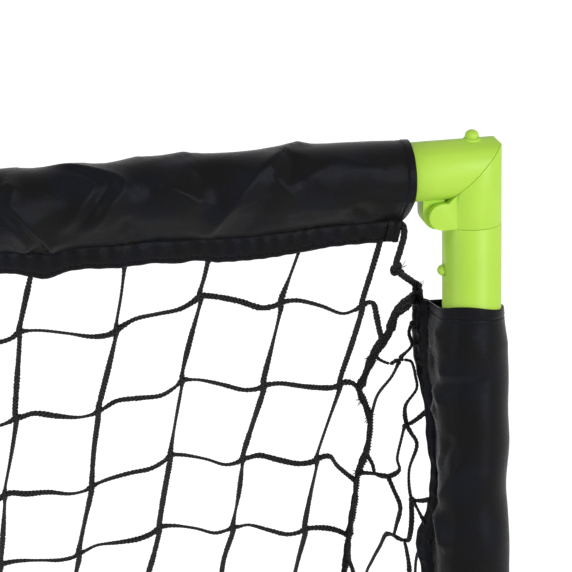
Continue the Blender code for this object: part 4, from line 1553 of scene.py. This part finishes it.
@dataclass
class Studio:
    """Camera, soft light and a plain pale floor."""

    measures: Measures
    azimuth: float = -11.94
    elevation: float = 18.30
    roll: float = -1.08
    distance: float = 1.703
    lens: float = 201.3
    shift_right: float = 98.9 * MM
    shift_up: float = 63.1 * MM
    ambient: float = 0.42
    floor_glow: float = 0.66
    lamps: tuple = (
        ("softbox", (1.9, -2.9, 1.0), 58, 1.0, (1.0, 0.995, 0.97)),
        ("strip", (-2.6, -0.9, 0.9), 18, 0.55, (0.96, 0.98, 1.0)),
        ("sky", (-1.2, -1.3, 2.8), 9, 0.35, (0.66, 0.74, 1.0)),
        ("rim", (-1.7, 1.9, 1.1), 5, 0.3, (0.85, 0.90, 1.0)),
    )

    def camera(self) -> None:
        """Places the camera at the photograph's angle."""
        a, e, w = (math.radians(x) for x in (self.azimuth, self.elevation, self.roll))
        back = Vector((math.sin(a) * math.cos(e), -math.cos(a) * math.cos(e), math.sin(e)))
        right = Vector((math.cos(a), math.sin(a), 0))
        up = back.cross(right)
        turned_right = right * math.cos(w) + up * math.sin(w)
        turned_up = up * math.cos(w) - right * math.sin(w)
        place = self.measures.top(Side.RIGHT) + back * self.distance
        place -= turned_right * self.shift_right + turned_up * self.shift_up
        data = bpy.data.cameras.new("camera")
        data.lens = self.lens
        data.sensor_width = 36
        made = bpy.data.objects.new("camera", data)
        turn = Matrix((turned_right, turned_up, back)).transposed().to_4x4()
        made.matrix_world = Matrix.Translation(place) @ turn
        bpy.context.scene.collection.objects.link(made)
        bpy.context.scene.camera = made

    def lamp(self, name: str, place: tuple, power: float, size: float, colour: tuple) -> None:
        """Adds a square area lamp aimed near the goal's right top corner.

        Args:
            name: its name.
            place: where it stands.
            power: its power in watts.
            size: its width.
            colour: its colour.
        """
        data = bpy.data.lights.new(name, "AREA")
        data.energy = power
        data.size = size
        data.color = colour
        made = bpy.data.objects.new(name, data)
        made.location = place
        aim = self.measures.top(Side.RIGHT) * 0.75 - Vector(place)
        made.rotation_euler = aim.to_track_quat("-Z", "Y").to_euler()
        bpy.context.scene.collection.objects.link(made)

    def world(self) -> None:
        """An even surround, white to the camera, to mirrors and through clear things."""
        graph = Graph("surround", world=True)
        strength = graph.ramp(graph.seen(), 0.0, 1.0, self.ambient, 1.0)
        back = graph.node("Background", {"Color": (1, 1, 1, 1), "Strength": strength})
        bpy.context.scene.world = graph.end(back)

    def floor(self) -> None:
        """The floor, white to the camera except where the goal shades it."""
        bm = bmesh.new()
        bmesh.ops.create_grid(bm, x_segments=1, y_segments=1, size=9)
        graph = Graph("studio_floor")
        light = graph.math("MULTIPLY", graph.seen(), self.floor_glow)
        glow = graph.node("Emission", {"Color": (1, 1, 1, 1), "Strength": light})
        matt = graph.node("BsdfDiffuse", {"Color": (0.86, 0.86, 0.86, 1)})
        finish = graph.end(graph.node("AddShader", {0: matt.outputs[0], 1: glow.outputs[0]}))
        new_piece("floor", bm, finish)

    def build(self) -> None:
        """Builds the whole studio."""
        self.camera()
        self.world()
        self.floor()
        for lamp in self.lamps:
            self.lamp(*lamp)
        bpy.context.scene.view_settings.view_transform = "Standard"
        LOG.info("studio: camera %.0f mm lens at %.2f m", self.lens, self.distance)


# ---------------------------------------------------------------- the goal


BAR_FOLDS = (
    Fold(((7, 52), (18, 57), (32, 60), (42, 63), (51, 61), (58, 58), (62, 51), (64, 44)), 9.0, 3.4),
    Fold(((61, 70), (66, 62), (65, 54)), 5.0, -2.6),
    Fold(((59, 85), (72, 69), (86, 59), (97, 49), (107, 38), (114, 13)), 6.0, 5.4),
    Fold(((77, 62), (73, 55), (67, 49), (61, 48)), 5.0, 3.2),
    Fold(((142, 61), (129, 56), (118, 50), (109, 46)), 5.0, 4.4),
    Fold(((121, 65), (102, 60), (95, 58)), 5.5, -2.8),
    Fold(((85, 55), (81, 46), (90, 18)), 6.5, -3.0),
    Fold(((34, 40), (26, 30), (20, 22)), 6.0, -2.4),
    Fold(((196, 82), (178, 72), (156, 61), (166, 49), (180, 29)), 4.5, 4.2),
    Fold(((186, 68), (172, 61), (180, 50), (190, 36)), 4.0, 3.2),
    Fold(((188, 74), (172, 66), (163, 61), (171, 51), (184, 34)), 3.5, -3.0),
    Fold(((160, 44), (150, 34), (146, 20)), 6.0, -2.6),
    Fold(((224, 62), (208, 46), (193, 26), (196, 14)), 4.5, 4.4),
    Fold(((222, 50), (212, 40), (206, 28), (214, 18)), 4.0, 3.0),
    Fold(((224, 56), (210, 43), (199, 28), (204, 16)), 3.5, -3.0),
    Fold(((219, 65), (209, 60)), 5.0, 3.0),
    Fold(((57, 74), (59, 90), (56, 110)), 8.0, 2.6),
    Fold(((118, 74), (121, 90), (116, 112)), 12.0, 2.8),
    Fold(((142, 76), (146, 92), (140, 112)), 10.0, 1.6),
    Fold(((168, 74), (166, 90), (170, 110)), 10.0, -1.6),
    Fold(((206, 76), (210, 92), (202, 112)), 9.0, 1.2),
)
BAR_HEM = (
    (0, 0), (24, 1.1), (46, 2.2), (68, 2.2), (90, 3.7), (103, 4.0), (113, 2.3), (124, 3.1), (138, 1.5), (157, 2.5),
    (174, 1.0), (184, 2.2), (195, 6.2), (205, 3.8), (214, 1.2), (226, 0.5), (260, 2.0), (330, 0.5),
)
POST_FOLDS = (
    Fold(((36, 112), (40, 101), (38, 88), (36, 72)), 3.0, -2.0),
    Fold(((34, 106), (33, 92), (31, 76)), 5.0, 2.0),
    Fold(((5, 86), (16, 88), (30, 92)), 9.0, 1.8),
    Fold(((44, 112), (49, 103), (53, 96)), 4.5, 3.0),
    Fold(((112, 104), (103, 98), (92, 92), (80, 86)), 6.0, 4.0),
    Fold(((92, 104), (80, 98), (66, 92)), 5.0, -2.6),
    Fold(((3, 126), (14, 116), (30, 108)), 4.0, 3.4),
    Fold(((6, 131), (26, 122), (52, 117)), 4.0, 3.0),
    Fold(((3, 118), (10, 108), (17, 99)), 4.0, 2.6),
    Fold(((10, 122), (24, 114), (40, 112)), 3.0, -2.4),
    Fold(((60, 91), (110, 90), (160, 91), (230, 90), (300, 91)), 4.0, 1.6),
    Fold(((140, 96), (126, 101), (112, 108)), 6.0, 4.0),
    Fold(((62, 122), (60, 114), (57, 106)), 5.0, 3.0),
    Fold(((120, 116), (106, 112), (92, 106)), 5.5, -3.0),
    Fold(((-16, 56), (60, 56), (110, 57)), 12.0, 2.4),
    Fold(((92, 57), (170, 58), (260, 57)), 14.0, 3.4),
)
POST_HEM = (
    (0, 7.4), (9, 6.6), (25, 7.1), (34, 7.0), (47, 4.0), (58, 0.3), (67, -2.2), (78, -3.0), (85, -3.4), (94, -4.4),
    (101, -4.2), (107, -2.9), (113, -2.5), (118, -2.0), (124, -0.8), (131, 1.2), (139, 5.0), (149, 5.2), (158, 1.6),
    (175, 0.0), (260, 1.0),
)


def turned_round(folds: tuple[Fold, ...], girth: float) -> list[Fold]:
    """The folds of the other side's sleeve, on which the cloth runs the other way round."""
    return [replace(fold, points=tuple((along, girth - around) for along, around in fold.points)) for fold in folds]


def scattered_folds(length: float, girth: float, count: int, seed: int, start: float, around: tuple) -> list[Fold]:
    """Folds for the stretches that the photograph doesn't show, in millimetres.

    Args:
        length: the sleeve's length.
        girth: its girth.
        count: how many folds.
        seed: sets where they lie.
        start: where along the sleeve they begin.
        around: the least and most distance round it.

    Returns:
        The folds.
    """
    rng = np.random.default_rng(seed)
    made = []
    for _ in range(count):
        along = rng.uniform(start + 15, length - 15)
        first = rng.uniform(around[0], min(around[1], girth - 14))
        lean = rng.uniform(8, 30) * rng.choice([-1, 1])
        rise = rng.uniform(14, 38) * rng.choice([-1, 1])
        bow = rng.uniform(-6, 6)
        points = ((along, first), (along + lean * 0.5 + bow, first + rise * 0.5), (along + lean, first + rise))
        made.append(Fold(points, rng.uniform(5.0, 9.0), rng.choice([-1.0, 1.0, 1.0]) * rng.uniform(1.8, 4.4)))
    return made


def make_sleeves(measures: Measures) -> list[Sleeve]:
    """The six sleeves of the goal.

    Args:
        measures: the goal's measures.

    Returns:
        The sleeves.
    """
    m = measures
    radius = m.tube_radius
    up, back, left = Vector((0, 0, 1)), Vector((0, 1, 0)), Vector((-1, 0, 0))
    bar_length = 2 * m.half - 2 * BAR_START * MM
    post_length = m.bar_height - m.base_height - (POST_START + SLEEVE_INSET) * MM
    side_length = m.rear - m.front - 2 * SLEEVE_INSET * MM
    rear_length = 2 * m.half - 2 * SLEEVE_INSET * MM
    folds = [
        *BAR_FOLDS,
        *scattered_folds(bar_length / MM, BAR_GIRTH, 42, 5, 225, (18, 100)),
        *scattered_folds(bar_length / MM, BAR_GIRTH, 30, 6, 0, (112, 140)),
    ]
    start = m.top(Side.RIGHT) + left * BAR_START * MM
    sleeves = [
        Sleeve(
            "crossbar", "", start, left, Vector(BAR_WAY), bar_length, radius, folds, 3,
            apex=27.5 * MM, flap=13.5 * MM, hem_line=BAR_HEM,
            slack=0.8 * MM, step=1.4 * MM, flap_retreat=4.5 * MM, bag=2.8 * MM,
        )
    ]
    for side in Side:
        s = side.value
        ending = f"_{side.letter}"
        folds = list(POST_FOLDS) if side is Side.RIGHT else turned_round(POST_FOLDS, GIRTH)
        folds += scattered_folds(post_length / MM, GIRTH, 16, 7 + s, 150, AROUND)
        start = m.top(side) - up * POST_START * MM
        post = Sleeve(
            "post", ending, start, -up, Vector(post_way(side)), post_length, radius, folds, 5 + s,
            hem_line=POST_HEM, slack=0.5 * MM, step=1.6 * MM, flap_retreat=1.0 * MM, retreat_scale=9 * MM,
            rim_rise=6.0 * MM, rim_rise_at=(84 if side is Side.RIGHT else 47) * MM,
        )
        folds = scattered_folds(side_length / MM, GIRTH, 16, 17 + s, 0, AROUND)
        start = Vector((s * m.half, m.front, m.base_height)) + back * SLEEVE_INSET * MM
        sleeves += [post, Sleeve("side", ending, start, back, up, side_length, radius, folds, 15 + s)]
    folds = scattered_folds(rear_length / MM, GIRTH, 34, 27, 0, AROUND)
    start = Vector((m.half - SLEEVE_INSET * MM, m.rear, m.base_height))
    return [*sleeves, Sleeve("rear", "", start, left, Vector(REAR_WAY), rear_length, radius, folds, 25)]


def main() -> None:
    """Builds and dresses every piece of the goal."""
    logging.basicConfig(level=logging.INFO, format="%(name)s: %(message)s")
    measures = Measures.read()
    finishes = Finishes.make()
    Studio(measures).build()
    shape = NetShape(measures)
    for side in Side:
        CornerTie(side, measures).build(finishes)
    for sleeve in make_sleeves(measures):
        sleeve.build(finishes)
    BackNet(shape).build(finishes)
    for side in Side:
        SideNet(shape, side).build(finishes)
        EdgeRope(shape, side).build(finishes)
    PlasticFrame().build(finishes)


if __name__ == "__main__":
    main()
